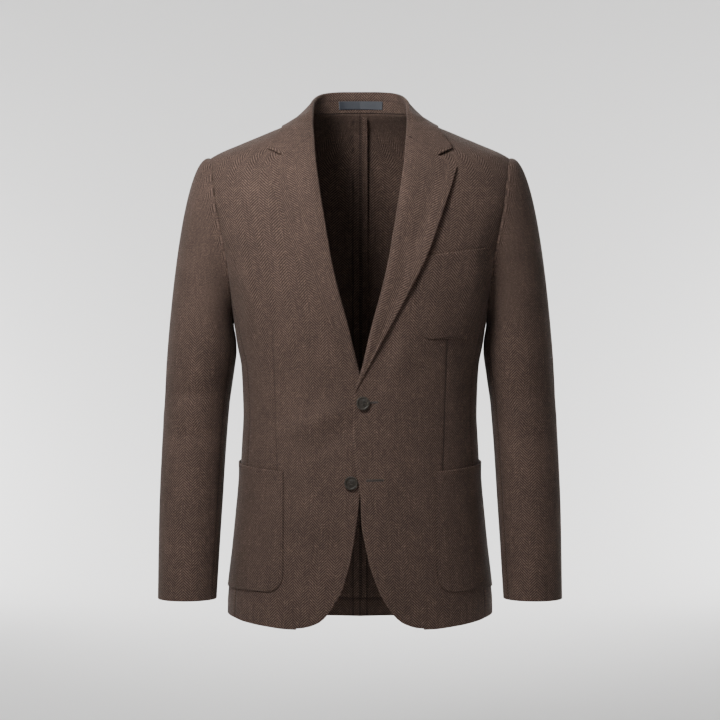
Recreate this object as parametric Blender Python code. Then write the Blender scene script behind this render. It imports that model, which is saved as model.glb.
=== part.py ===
"""Linen blazer: a two-button jacket with patch pockets, in its worn shape and empty.

Metres, +Z up, +X to the wearer's left, -Y to the front. The origin is the nape, the
middle of the back neck seam. Every panel is a wall of cloth cut from one torso form;
whatever lies on a panel is made from that panel's points, moved out.
"""
import math

import bpy
import numpy as np
from mathutils import Matrix, Vector

# ---------------------------------------------------------------- driving sizes
CLOTH = 0.0020            # wall of the body and the sleeves
FACING = 0.0018           # wall of the lapels and the collar
POCKET = 0.0015           # wall of a patch pocket
LABEL = 0.0006            # woven label
SEAM_GAP = 0.0003         # between two pieces sewn edge to edge
FOLD_GAP = 0.0004         # between a front's edge and the lapel folded round it
LAID_GAP = 0.0009         # between a panel and what lies on it
LAP = 0.0014              # how far each front moves out or in where they overlap
FOLD_RADIUS = (CLOTH + FACING) / 2 + FOLD_GAP     # middle of the cloth round a front's edge
ROLL_SETBACK = FOLD_RADIUS + FACING / 2           # from the roll's crest to the front's edge
LAP_FADE = (0.020, 0.075)        # the lap dies away between these distances from the middle
LAP_TOP = (-0.385, -0.330)       # and between these heights

# About how far seams lie from the middle line, to turn their gap into an angle.
SIDE_RADIUS = 0.18
ARMHOLE_RADIUS = 0.15
UNDERARM_RADIUS = 0.17
SHOULDER_RADIUS = 0.034
SLEEVE_RADIUS = 0.055

# Level sections of the torso form.
TORSO = (
    # height, half width, front depth, back depth, squareness
    (-0.7600, 0.1925, 0.138, 0.135, 2.30),
    (-0.7150, 0.1920, 0.138, 0.134, 2.30),
    (-0.6770, 0.1885, 0.137, 0.133, 2.30),
    (-0.6380, 0.1838, 0.136, 0.130, 2.30),
    (-0.5900, 0.1790, 0.135, 0.126, 2.28),
    (-0.5400, 0.1745, 0.133, 0.119, 2.26),
    (-0.4820, 0.1712, 0.131, 0.110, 2.25),
    (-0.4445, 0.1694, 0.129, 0.107, 2.25),
    (-0.4190, 0.1700, 0.129, 0.108, 2.25),
    (-0.3760, 0.1722, 0.131, 0.113, 2.28),
    (-0.3440, 0.1780, 0.133, 0.118, 2.35),
    (-0.3060, 0.1840, 0.135, 0.124, 2.48),
    (-0.2660, 0.1941, 0.1345, 0.129, 2.58),
    (-0.2300, 0.2040, 0.1325, 0.132, 2.60),
    (-0.1960, 0.2138, 0.1285, 0.132, 2.60),
    (-0.1620, 0.2233, 0.1215, 0.130, 2.60),
    (-0.1350, 0.2300, 0.114, 0.127, 2.50),
    (-0.1060, 0.2325, 0.103, 0.122, 2.32),
    (-0.0900, 0.2280, 0.0945, 0.118, 2.20),
    (-0.0767, 0.2185, 0.087, 0.1135, 2.10),
    (-0.0670, 0.2050, 0.081, 0.110, 2.05),
    (-0.0543, 0.1790, 0.072, 0.105, 2.00),
    (-0.0418, 0.1500, 0.061, 0.099, 2.00),
    (-0.0295, 0.1105, 0.050, 0.093, 2.00),
    (-0.0155, 0.0895, 0.040, 0.083, 2.00),
    (-0.0080, 0.0780, 0.034, 0.077, 2.00),
    (0.0000, 0.0690, 0.028, 0.072, 2.00),
)

NECK_POINT = -0.0080      # height where the shoulder seam meets the neck
BACK_NECK = 0.0           # height of the back neck seam at the middle
NECK_CURVE = 1.5          # how late the neck seam rises on its way to the nape
NECK_ROW = (90, 130, 0.003)      # the row under it rises by this between these degrees

# Hem line by angle round the torso: 0 front, 90 side, 180 back.
HEM = (
    # degrees, height
    (0, -0.7418), (30, -0.7416), (42, -0.7390), (56, -0.7352), (69, -0.7319),
    (90, -0.7300), (112, -0.7330), (132, -0.7410), (150, -0.7475), (180, -0.7505),
)
HEM_BASE = -0.7350        # the row that the hem line bends
HEM_FADE = -0.6200        # above this the rows are level

# A front's free edge below the roll, and its roll line above: distance from the middle,
# positive on the front's own side.
FRONT_EDGE = (
    # height, left front, right front
    (-0.7418, 0.0898, 0.0898), (-0.7405, 0.0790, 0.0790), (-0.7380, 0.0701, 0.0690),
    (-0.7312, 0.0563, 0.0550), (-0.7194, 0.0447, 0.0440), (-0.7056, 0.0355, 0.0350),
    (-0.6905, 0.0274, 0.0262), (-0.6650, 0.0172, 0.0180), (-0.6454, 0.0117, 0.0130),
    (-0.5895, 0.0017, 0.0040), (-0.5574, 0.0006, 0.0005), (-0.5392, -0.0020, -0.0015),
    (-0.5225, -0.0045, -0.0040), (-0.5071, -0.0070, -0.0065), (-0.4820, -0.0090, -0.0090),
    (-0.4560, -0.0096, -0.0092), (-0.4300, -0.0094, -0.0070), (-0.4107, -0.0073, -0.0030),
    (-0.3990, -0.0020, 0.0020), (-0.3900, 0.0022, 0.0052), (-0.3800, 0.0052, 0.0066),
)
ROLL = (
    # height, distance of the roll's crest from the middle
    (-0.4107, -0.0073), (-0.3970, -0.0035), (-0.3830, 0.0009), (-0.3570, 0.0070),
    (-0.3200, 0.0157), (-0.2680, 0.0298), (-0.2270, 0.0393), (-0.1780, 0.0475),
    (-0.1300, 0.0555), (-0.0800, 0.0623), (-0.0490, 0.0650), (-0.0300, 0.0670),
    (-0.0120, 0.0676), (0.0000, 0.0676),
)

# Side seams of the small side panel, by height.
SIDE_SEAMS = (
    # height, front seam degrees, back seam degrees
    (-0.7600, 64.0, 117.0), (-0.4500, 65.0, 116.0), (-0.2700, 68.0, 114.5),
)

# Armhole seen from the side: a squared oval.
ARMHOLE_MID = -0.1900
ARMHOLE_RISE = 0.1165
ARMHOLE_FRONT = 0.0700
ARMHOLE_BACK = 0.0740
ARMHOLE_SQUARE = 2.20
ARMHOLE_STEPS = 24        # edges round the armhole, shared by the panels and the sleeve
JOIN_STEP = 9             # the side seams meet the armhole this many steps from its top
UNDERARM_ROOM = 0.012     # least way from the armhole down to a side panel's next row
UNDERARM_TURN = -0.45     # below this a side panel's columns stand upright

# Sleeve below the upper arm, level oval rings.
SLEEVE = (
    # height, middle x, half width, middle y, half depth
    (-0.3650, 0.2305, 0.0502, 0.000, 0.0665),
    (-0.4344, 0.2373, 0.0474, 0.003, 0.0610),
    (-0.4967, 0.2410, 0.0466, -0.005, 0.0570),
    (-0.5542, 0.2435, 0.0460, -0.014, 0.0540),
    (-0.6113, 0.2453, 0.0447, -0.026, 0.0515),
    (-0.7077, 0.2478, 0.0422, -0.043, 0.0480),
)
# The sleeve's cap, from the armhole down to the first level ring. The first of two
# values is under the arm, the second at the top of the shoulder.
CAP_PROUD = 0.0004               # the seam line stands off the torso form
CAP_GAP = 0.0008                 # from the seam line to the sleeve's own edge
CAP_GAP_WAY = (0.90, 0.25, -0.35)
CAP_LEAVE_X = (0.66, 0.97)       # direction in which the cap leaves the seam
CAP_LEAVE_Z = (-0.75, -0.25)
CAP_REACH = (0.011, 0.038)       # how far it goes on in that direction
CAP_LEAD = (0.030, 0.122)        # how far above the first ring it already hangs straight
CAP_STEPS = (0.0, 0.09, 0.19, 0.31, 0.44, 0.58, 0.72, 0.86)
SLEEVE_ROWS = (-0.3650, -0.395, -0.420, -0.445, -0.470, -0.500, -0.535, -0.575,
               -0.620, -0.665, -0.7077)
UNDER_STEPS = (10, 17)    # the two lengthwise seams, in armhole steps from the top

# Soft folds of the cloth, as lines over the front (-1) or back (+1) of the torso.
CREASES = (
    # side, from x, from z, to x, to z, half breadth, height
    (-1, -0.004, -0.432, -0.105, -0.480, 0.017, 0.0026),
    (-1, 0.012, -0.434, 0.105, -0.470, 0.018, 0.0020),
    (-1, -0.016, -0.402, -0.085, -0.325, 0.016, 0.0022),
    (-1, 0.016, -0.402, 0.080, -0.335, 0.016, 0.0018),
    (-1, -0.166, -0.175, -0.150, -0.330, 0.014, 0.0030),
    (-1, 0.168, -0.170, 0.152, -0.320, 0.014, 0.0028),
    (1, -0.168, -0.160, -0.140, -0.340, 0.018, 0.0042),
    (1, 0.166, -0.150, 0.146, -0.350, 0.018, 0.0038),
    (1, -0.120, -0.445, 0.020, -0.425, 0.016, 0.0028),
    (1, 0.030, -0.405, 0.130, -0.430, 0.015, 0.0024),
    (1, -0.060, -0.385, 0.030, -0.370, 0.014, -0.0020),
)
# Soft folds of the sleeves: hollows and ridges round the elbow and the cap.
SLEEVE_CREASES = (
    # height, degrees from the outer side, half rise, half degrees, height of the fold
    (-0.415, 75, 0.012, 42, -0.0030),
    (-0.447, 60, 0.013, 38, 0.0022),
    (-0.476, 88, 0.012, 40, -0.0022),
    (-0.400, 265, 0.014, 48, 0.0028),
    (-0.430, 275, 0.012, 50, -0.0032),
    (-0.585, 80, 0.018, 44, 0.0018),
)

# Lapel: its outer edge from the break to its point.
LAPEL_EDGE = (
    # share of the lapel's height, height, left lapel, right lapel
    (0.00, -0.3930, 0.0030, 0.0060), (0.08, -0.3710, 0.0140, 0.0150),
    (0.20, -0.3380, 0.0320, 0.0300), (0.34, -0.2990, 0.0530, 0.0500),
    (0.48, -0.2570, 0.0750, 0.0715), (0.62, -0.2120, 0.0960, 0.0905),
    (0.76, -0.1650, 0.1130, 0.1070), (0.90, -0.1170, 0.1295, 0.1250),
    (1.00, -0.0940, 0.1366, 0.1363),
)
LAPEL_FOOT = {1: -0.3925, -1: -0.3790}    # the height where each lapel's roll begins
LAPEL_BLOOM = 0.0022      # how far the soft roll stands off the chest
LAPEL_FULL = 0.05         # a lapel narrower than this blooms less
LAPEL_SHARES = (0.0, 0.12, 0.28, 0.46, 0.64, 0.82, 1.0)      # columns from roll to edge
LAPEL_LEAST = 0.003       # least width, at the foot
POCKET_RAMP = ((-0.050, -0.025), (0.006, 0.026), (-0.022, -0.006))   # rise, fall, way in
GORGE_ROLL = -0.0490      # height of the gorge seam at the roll
GORGE_CORNER = 0.1080     # distance of the notch's inner corner from the middle
GORGE_SLOPE = -0.0450 / 0.0685            # fall of the gorge seam for its way outwards
LAPEL_ROWS = 17

# Collar, one half, from the middle back (0) to the notch (1).
COLLAR = (
    # share, middle of the fold x, y, z, leaf's outer edge x, y, z
    (0.00, 0.0000, 0.0722, 0.0289, 0.0000, 0.0850, -0.0125),
    (0.12, 0.0220, 0.0712, 0.0288, 0.0290, 0.0835, -0.0135),
    (0.24, 0.0420, 0.0650, 0.0272, 0.0570, 0.0775, -0.0160),
    (0.36, 0.0570, 0.0500, 0.0228, 0.0820, 0.0650, -0.0195),
    (0.48, 0.0655, 0.0300, 0.0152, 0.1005, 0.0430, -0.0240),
    (0.60, 0.0697, 0.0090, 0.0055, 0.1110, 0.0120, -0.0268),
)
COLLAR_SEAM = (180, 163, 146, 128, 110, 93)       # neck seam, degrees at those shares
COLLAR_FRONT = (
    # share, height of the fold, leaf's outer edge x, height
    (0.73, -0.0080, 0.1125, -0.0330),
    (0.87, -0.0250, 0.1165, -0.0440),
    (1.00, GORGE_ROLL, 0.1317, -0.0640),
)
COLLAR_ROWS = 13
STAND_LIFT = 0.0010       # from the back neck seam up to the stand's lower edge
LEAF_GAP = 0.0023         # between the collar's leaf and the shoulders
NECK_SETBACK = 0.0012     # the fronts' neck edge keeps this much more room in the fold
LEAF_HOLLOW = 0.0030      # how far the leaf's middle dips at the side of the neck
LEAF_SHARES = (0.0, 0.16, 0.34, 0.52, 0.68, 0.84, 1.0)       # columns from fold to edge
GORGE_SHARE = 0.68        # the column that turns into the notch's inner corner
GORGE_FROM = 0.80         # share of the collar where the leaf starts to bend to the notch
STAND_TUCK = 0.0015       # the stand's front end lies this much further from the middle

# Patch pockets: height of the mouth at the inner and the outer corner, and the rest.
PATCH_INNER = 0.1075      # distance of the inner edge from the middle
PATCH_WIDTH = 0.1640
PATCH_MOUTH = (-0.5230, -0.5100)
PATCH_FLOOR = -0.6920
PATCH_CORNER = 0.0260
POCKET_CROWDING = 1.35    # rows crowd towards the round lower corners
CHEST_INNER = 0.0790
CHEST_WIDTH = 0.1060
CHEST_MOUTH = (-0.2225, -0.2065)
CHEST_FLOOR = -0.3365
CHEST_CORNER = 0.0200

BUTTON_RADIUS = 0.0094
BUTTON_BODY = 0.0026
BUTTON_RIM = 0.0038
BUTTON_DISH = 0.0062      # radius of the hollow inside the rim
HOLE_RADIUS = 0.0008
HOLE_SPACING = 0.0016     # from the button's middle to each hole along x and y
BUTTON_SIDES = 18
BUTTON_SEAT = 0.0003      # from a front up to its button
BUTTON_PROFILE = (
    # radius, level: up the outside, over the rim and down into the dish
    (0.0, 0.0), (0.86 * BUTTON_RADIUS, 0.0), (BUTTON_RADIUS, 0.45 * BUTTON_BODY),
    (BUTTON_RADIUS, 0.80 * BUTTON_RIM), (0.90 * BUTTON_RADIUS, BUTTON_RIM),
    (1.08 * BUTTON_DISH, 0.93 * BUTTON_RIM), (BUTTON_DISH, BUTTON_BODY), (0.0, BUTTON_BODY),
)
BUTTONS = (
    # name, x, height, which front carries it
    ("button_top", 0.0042, -0.4265, 1),
    ("button_low", -0.0126, -0.5380, -1),
)
LABEL_REACH = 0.185       # share of the half collar that the label covers
LABEL_SHARE = (0.20, 0.60)                # of the stand's height

LINEN = (0.072, 0.047, 0.037)
HORN = (0.045, 0.038, 0.028)
NAVY = (0.030, 0.040, 0.075)


# ---------------------------------------------------------------- curves and forms
def smooth(table, column, at):
    """Read a column of a table at `at`, on a smooth curve that never overshoots its rows."""
    rows = sorted(table)
    knots = np.array([row[0] for row in rows], float)
    values = np.array([row[column] for row in rows], float)
    step = np.diff(knots)
    slope = np.diff(values) / step
    tangent = np.zeros(len(knots))
    tangent[0], tangent[-1] = slope[0], slope[-1]
    same = slope[1:] * slope[:-1] > 0
    tangent[1:-1][same] = 2 / (1 / slope[1:][same] + 1 / slope[:-1][same])
    at = np.asarray(at, float)
    i = np.clip(np.searchsorted(knots, at) - 1, 0, len(step) - 1)
    t = np.clip((at - knots[i]) / step[i], 0, 1)
    h = step[i]
    return (values[i] * (1 + 2 * t) * (1 - t) ** 2 + tangent[i] * h * t * (1 - t) ** 2
            + values[i + 1] * t * t * (3 - 2 * t) + tangent[i + 1] * h * t * t * (t - 1))


def ease(low, high, at):
    """0 below low, 1 above high, smooth between."""
    t = np.clip((np.asarray(at, float) - low) / (high - low), 0, 1)
    return t * t * (3 - 2 * t)


def between(pair, share):
    """From the first value of a pair to the second."""
    return pair[0] + (pair[1] - pair[0]) * share


def unit(vector):
    return vector / np.linalg.norm(vector, axis=-1, keepdims=True)


def bare_torso(angle, height):
    """A point of the torso form: angle 0 at the front, 90 degrees at the left side."""
    angle, height = np.broadcast_arrays(np.asarray(angle, float), np.asarray(height, float))
    half, front, back, square = (smooth(TORSO, column, height) for column in (1, 2, 3, 4))
    s, c = np.sin(angle), np.cos(angle)
    radius = (np.abs(s) ** square + np.abs(c) ** square) ** (-1 / square)
    depth = np.where(c > 0, front, back)
    return np.stack([half * radius * s, -depth * radius * c, height], -1)


def torso_normal(angle, height):
    """The torso form's outward direction."""
    step = 1e-4
    across = bare_torso(angle + step, height) - bare_torso(angle - step, height)
    up = bare_torso(angle, height + step) - bare_torso(angle, height - step)
    return unit(np.cross(across, up))


def crease_height(points):
    """How far the soft folds lift the cloth at these points."""
    lift = np.zeros(points.shape[:-1])
    flat = points[..., (0, 2)]
    for side, x0, z0, x1, z1, breadth, height in CREASES:
        start, along = np.array((x0, z0)), np.array((x1 - x0, z1 - z0))
        share = np.clip(((flat - start) @ along) / (along @ along), 0, 1)
        away = np.linalg.norm(flat - start - share[..., None] * along, axis=-1)
        taper = np.sqrt(np.clip(4 * share * (1 - share), 0.05, 1))
        near = np.exp(-(away / breadth) ** 2) * taper
        lift += height * near * ease(0.01, 0.04, side * points[..., 1])
    return lift


def torso(angle, height, out=0.0):
    """A point of the cloth's outer face, moved out."""
    points = bare_torso(angle, height)
    lift = out + crease_height(points)
    return points + lift[..., None] * torso_normal(angle, height)


def angle_at(x, height):
    """The angle of the front point that lies x from the middle."""
    half, square = smooth(TORSO, 1, height), smooth(TORSO, 4, height)
    u = np.clip(x / half, -1, 1)
    return np.arctan2(u, (1 - np.abs(u) ** square) ** (1 / square))


def lap_shift(side, angle, height):
    """The left front lies over the right one: one moves out, the other in."""
    own_x = np.abs(bare_torso(angle, height)[..., 0])
    return side * LAP * (1 - ease(*LAP_FADE, own_x)) * (1 - ease(*LAP_TOP, height))


def front_cloth(side, angle, height, out=0.0):
    """A point of one front's outer face, moved out; angle and x count on its own side."""
    moved = out + lap_shift(side, angle, height)
    points = bare_torso(angle, height)
    mirrored = points * (side, 1, 1)
    normal = torso_normal(angle, height)
    points = points + (moved + crease_height(mirrored))[..., None] * normal
    return points * (side, 1, 1)


def hem_height(row, angle):
    """Rows near the bottom follow the hem line, rows higher up are level."""
    bend = 1 - ease(HEM_BASE, HEM_FADE, row)
    return row + bend * (smooth(HEM, 1, np.abs(np.degrees(angle))) - HEM_BASE)


def armhole(step):
    """The armhole seam: its angle round the torso and its height, steps from the top."""
    turn = 2 * math.pi * np.asarray(step, float) / ARMHOLE_STEPS
    s, c = np.sin(turn), np.cos(turn)
    power = 2 / ARMHOLE_SQUARE
    reach = np.where(s > 0, -ARMHOLE_FRONT, ARMHOLE_BACK)
    y = reach * np.abs(s) ** power
    height = ARMHOLE_MID + ARMHOLE_RISE * np.sign(c) * np.abs(c) ** power
    depth = np.where(y < 0, smooth(TORSO, 2, height), smooth(TORSO, 3, height))
    square = smooth(TORSO, 4, height)
    v = np.abs(y) / depth
    u = (1 - v ** square) ** (1 / square)
    return np.arctan2(u, np.where(y < 0, v, -v)), height


# ---------------------------------------------------------------- making the walls
def material(name, colour, roughness):
    """A plain Principled finish, made once."""
    found = bpy.data.materials.get(name)
    if found:
        return found
    made = bpy.data.materials.new(name)
    made.use_nodes = True
    shader = made.node_tree.nodes["Principled BSDF"]
    shader.inputs["Base Color"].default_value = (*colour, 1)
    shader.inputs["Roughness"].default_value = roughness
    shader.inputs["Metallic"].default_value = 0
    return made


def add_object(name, mesh, finish):
    piece = bpy.data.objects.new(name, mesh)
    bpy.context.collection.objects.link(piece)
    mesh.materials.append(finish)
    return piece


def grid_faces(rows, columns, flip):
    faces = []
    for i in range(rows - 1):
        for j in range(columns - 1):
            a = i * columns + j
            face = (a, a + 1, a + columns + 1, a + columns)
            faces.append(face[::-1] if flip else face)
    return faces


def cloth_wall(name, outer, inner, finish, flip=False):
    """A wall of cloth between its outer and its inner face, each in rows and columns."""
    rows, columns = outer.shape[:2]
    count = rows * columns
    faces = grid_faces(rows, columns, flip)
    faces += [tuple(count + k for k in face[::-1]) for face in faces]
    rim = [j for j in range(columns)]
    rim += [i * columns + columns - 1 for i in range(1, rows)]
    rim += [(rows - 1) * columns + j for j in range(columns - 2, -1, -1)]
    rim += [i * columns for i in range(rows - 2, 0, -1)]
    for a, b in zip(rim, rim[1:] + rim[:1]):
        face = (b, a, a + count, b + count)
        faces.append(face[::-1] if flip else face)
    mesh = bpy.data.meshes.new(name)
    points = np.concatenate([outer.reshape(-1, 3), inner.reshape(-1, 3)])
    mesh.from_pydata([tuple(p) for p in points], [], faces)
    return add_object(name, mesh, finish)


def folded_wall(name, grid, thickness, finish, flip=False):
    """A folded sheet, thickened about its middle."""
    mesh = bpy.data.meshes.new(name)
    rows, columns = grid.shape[:2]
    points = [tuple(p) for p in grid.reshape(-1, 3)]
    mesh.from_pydata(points, [], grid_faces(rows, columns, flip))
    piece = add_object(name, mesh, finish)
    wall = piece.modifiers.new("wall", "SOLIDIFY")
    wall.thickness = thickness
    wall.offset = 0
    return piece


def linen():
    return material("linen", LINEN, 0.9)


# ---------------------------------------------------------------- body panels
LOW_ROWS = (-0.7350, -0.7335, -0.7300, -0.7230, -0.7120, -0.6970, -0.6770, -0.6500, -0.6200,
            -0.5900, -0.5600, -0.5300, -0.5000, -0.4700, -0.4450, -0.4250, -0.4050, -0.3860,
            -0.3650, -0.3400, -0.3150, -0.2920)
SHOULDER_ROWS = (-0.0640, -0.0530, -0.0420, -0.0300, -0.0190, -0.0105)
FRONT_COLUMNS = 9
BACK_COLUMNS = 10


def panel_rows(direction):
    """Row heights and outer angles of a front (+1) or back (-1) panel, bottom to top."""
    seam_column = 1 if direction > 0 else 2
    gap = -direction * SEAM_GAP / 2
    rows = []
    for height in LOW_ROWS:
        angle = math.radians(float(smooth(SIDE_SEAMS, seam_column, height)))
        rows.append((height, angle + gap / SIDE_RADIUS))
    for step in range(JOIN_STEP, -1, -1):
        angle, height = armhole(step * direction)
        if step == 0:
            angle = math.pi / 2
        rows.append((float(height), float(angle) + gap / ARMHOLE_RADIUS))
    for height in SHOULDER_ROWS:
        rows.append((height, math.pi / 2 + gap / float(smooth(TORSO, 2, height))))
    return rows


def front_panel(side):
    """One front, from the hem and the free edge up to the shoulder seam."""
    edge_column = 1 if side > 0 else 2
    outside, inside = [], []
    for row, outer in panel_rows(1):
        height = row
        for _ in range(4):
            if height < -0.3800:
                inner_x = float(smooth(FRONT_EDGE, edge_column, height))
            else:
                inner_x = float(smooth(ROLL, 1, height)) + ROLL_SETBACK
                inner_x += NECK_SETBACK * float(ease(-0.060, -0.035, height))
            inner = float(angle_at(inner_x, height))
            height = float(hem_height(row, inner))
        angles = np.linspace(inner, outer, FRONT_COLUMNS)
        heights = hem_height(row, angles)
        outside.append(front_cloth(side, angles, heights))
        inside.append(front_cloth(side, angles, heights, -CLOTH))
    name = "front_left" if side > 0 else "front_right"
    return cloth_wall(name, np.array(outside), np.array(inside), linen(), flip=side < 0)


def back_panel(side):
    """One back, from the centre seam to the side seam, the armhole and the shoulder."""
    lines = []
    for row, outer in panel_rows(-1):
        centre = math.pi - SEAM_GAP / 2 / float(smooth(TORSO, 1, row))
        angles = np.linspace(outer, centre, BACK_COLUMNS)
        lines.append((angles, hem_height(row, angles)))
    start, end, rise = NECK_ROW
    lines[-1] = (lines[-1][0], lines[-1][1] + rise * ease(start, end, np.degrees(angles)))
    angles = np.linspace(math.pi / 2 + SEAM_GAP / 2 / SHOULDER_RADIUS, centre, BACK_COLUMNS)
    lines.append((angles, neck_height(angles)))
    outside = np.array([torso(*line) for line in lines]) * (side, 1, 1)
    inside = np.array([torso(*line, -CLOTH) for line in lines]) * (side, 1, 1)
    name = "back_left" if side > 0 else "back_right"
    return cloth_wall(name, outside, inside, linen(), flip=side < 0)


def neck_height(angle):
    """The back neck seam, from the shoulder seam up to the nape."""
    return between((NECK_POINT, BACK_NECK), np.abs(np.cos(angle)) ** NECK_CURVE)


def side_panel(side):
    """The narrow panel under the arm; its columns end in the armhole."""
    steps = range(JOIN_STEP, ARMHOLE_STEPS - JOIN_STEP + 1)
    gap = SEAM_GAP / 2 / UNDERARM_RADIUS
    columns = []
    for step in steps:
        share = (step - steps[0]) / (steps[-1] - steps[0])
        top_angle, top = (float(value) for value in armhole(step))
        column = []
        for row in [height for height in LOW_ROWS if height < top - UNDERARM_ROOM] + [top]:
            seams = [math.radians(float(smooth(SIDE_SEAMS, k, row))) for k in (1, 2)]
            inset = gap * (1 - 2 * share)
            angle = seams[0] + (seams[1] - seams[0]) * share + inset
            if row == top or 0 < share < 1:
                angle += (top_angle + inset - angle) * float(ease(UNDERARM_TURN, top, row))
            column.append((angle, row))
        columns.append(column)
    count = min(len(column) for column in columns)
    lines = [[column[i] for column in columns] for i in range(count - 1)]
    lines = np.array(lines + [[column[-1] for column in columns]])
    angles, rows = lines[..., 0], lines[..., 1]
    heights = hem_height(rows, angles)
    outside = torso(angles, heights) * (side, 1, 1)
    inside = torso(angles, heights, -CLOTH) * (side, 1, 1)
    name = "side_left" if side > 0 else "side_right"
    return cloth_wall(name, outside, inside, linen(), flip=side < 0)


# ---------------------------------------------------------------- sleeves
def sleeve_ring(height, turn):
    """The level oval of the sleeve at a height."""
    middle_x, half_x, middle_y, half_y = (smooth(SLEEVE, k, height) for k in (1, 2, 3, 4))
    flat = np.zeros_like(turn)
    return np.stack([middle_x + half_x * np.cos(turn), middle_y - half_y * np.sin(turn),
                     height + flat], -1)


def sleeve_crease(height, turn):
    lift = 0.0
    for level, degrees, rise, half, amount in SLEEVE_CREASES:
        away = (np.degrees(turn) - degrees + 180) % 360 - 180
        lift = lift + amount * np.exp(-((height - level) / rise) ** 2 - (away / half) ** 2)
    return lift


def sleeve_grid(steps):
    """Rings from the armhole down to the cuff, for these armhole steps."""
    turn = 2 * math.pi * steps / ARMHOLE_STEPS
    angle, height = armhole(steps % ARMHOLE_STEPS)
    top = (1 + np.cos(turn)) / 2
    way = np.array(CAP_GAP_WAY) * np.stack([top, np.sin(turn), np.cos(turn)], -1)
    start = torso(angle, height, CAP_PROUD) + CAP_GAP * unit(way)
    leave = unit(np.stack([between(CAP_LEAVE_X, top), 0 * top, between(CAP_LEAVE_Z, top)], -1))
    ring = sleeve_ring(SLEEVE_ROWS[0], turn)
    step = 0.01
    fall = (sleeve_ring(SLEEVE_ROWS[0] - step, turn) - ring) / step
    first = start + between(CAP_REACH, top)[:, None] * leave
    second = ring - between(CAP_LEAD, top)[:, None] * fall
    grid = []
    for t in CAP_STEPS:
        grid.append(start * (1 - t) ** 3 + 3 * first * t * (1 - t) ** 2
                    + 3 * second * t * t * (1 - t) + ring * t ** 3)
    for row in SLEEVE_ROWS:
        level = sleeve_ring(row, turn)
        outward = unit(np.stack([np.cos(turn), -np.sin(turn), 0 * turn], -1))
        grid.append(level + sleeve_crease(row, turn)[:, None] * outward)
    return np.array(grid)


def sleeve(side, part):
    """The top sleeve or the under sleeve of one arm."""
    low, high = UNDER_STEPS
    gap = SEAM_GAP / 2 / SLEEVE_RADIUS * ARMHOLE_STEPS / (2 * math.pi)
    if part == "under":
        steps = np.arange(low, high + 1, dtype=float)
    else:
        steps = np.arange(high, low + ARMHOLE_STEPS + 1, dtype=float)
    steps[0] += gap
    steps[-1] -= gap
    outside = sleeve_grid(steps)
    around = sleeve_grid(steps + 0.01) - sleeve_grid(steps - 0.01)
    normal = unit(np.cross(around, np.gradient(outside, axis=0)))
    inside = outside - CLOTH * normal
    name = f"{part}_sleeve_" + ("left" if side > 0 else "right")
    mirror = (side, 1, 1)
    return cloth_wall(name, outside * mirror, inside * mirror, linen(), flip=side < 0)


# ---------------------------------------------------------------- lapels and collar
def folded_section(seam_side, centre, up, out, leaf):
    """Cloth that comes up from seam_side, turns over `centre` and goes on into the leaf."""
    turn = [centre + FOLD_RADIUS * (out * math.sin(a) + up * math.cos(a))
            for a in np.radians((-90, -45, 0, 45))]
    return [*seam_side, *turn, *leaf]


def lapel_point(side, x, height, out):
    angle = angle_at(x, height)
    return front_cloth(side, angle, height, out)


def over_chest_pocket(side, x, height):
    """The left lapel rides over the inner corner of the chest pocket."""
    if side < 0:
        return 0.0
    low, high, inner = POCKET_RAMP
    above = ease(*low, height - CHEST_MOUTH[0])
    below = 1 - ease(*high, height - CHEST_MOUTH[0])
    return (POCKET + LAID_GAP) * float(above * below * ease(*inner, x - CHEST_INNER))


def lapel(side):
    """One lapel: rows go from the roll out to the free edge, foot to gorge."""
    column = 2 if side > 0 else 3
    lift = LAID_GAP + FACING / 2
    grid = []
    for share in np.linspace(0, 1, LAPEL_ROWS):
        low = LAPEL_FOOT[side]
        roll_height = low + (GORGE_ROLL - 2 * SEAM_GAP - low) * share
        edge_height = max(float(smooth(LAPEL_EDGE, 1, share)), low + LAID_GAP)
        roll_x = float(smooth(ROLL, 1, roll_height)) + ROLL_SETBACK
        edge_x = max(float(smooth(LAPEL_EDGE, column, share)), roll_x + LAPEL_LEAST)
        centre = lapel_point(side, roll_x, roll_height, -CLOTH / 2)
        surface = lapel_point(side, roll_x, roll_height, 0.0)
        inland = lapel_point(side, roll_x + ROLL_SETBACK, roll_height, 0.0)
        out = unit(surface - centre)
        up = surface - inland
        up = unit(up - out * (up @ out))
        leaf = []
        for v in LAPEL_SHARES:
            x = roll_x + (edge_x - roll_x) * v
            height = roll_height + (edge_height - roll_height) * v
            bloom = LAPEL_BLOOM * 27 / 4 * v * (1 - v) ** 2        # fullest a third of the way
            bloom *= min(1, (edge_x - roll_x) / LAPEL_FULL)
            over = lift + bloom + over_chest_pocket(side, x, height)
            leaf.append(lapel_point(side, x, height, over))
        grid.append(folded_section([], centre, up, out, leaf))
    name = "lapel_left" if side > 0 else "lapel_right"
    return folded_wall(name, np.array(grid), FACING, linen(), flip=side < 0)


def above_torso(point, clear):
    """Push a point off the torso form until it is clear of it."""
    x, y, height = point
    half = float(smooth(TORSO, 1, height))
    depth = float(smooth(TORSO, 2 if y < 0 else 3, height))
    angle = math.atan2(x / half, -y / depth)
    surface, normal = bare_torso(angle, height), torso_normal(angle, height)
    distance = float((point - surface) @ normal)
    return point + max(0.0, clear - distance) * normal


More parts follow.
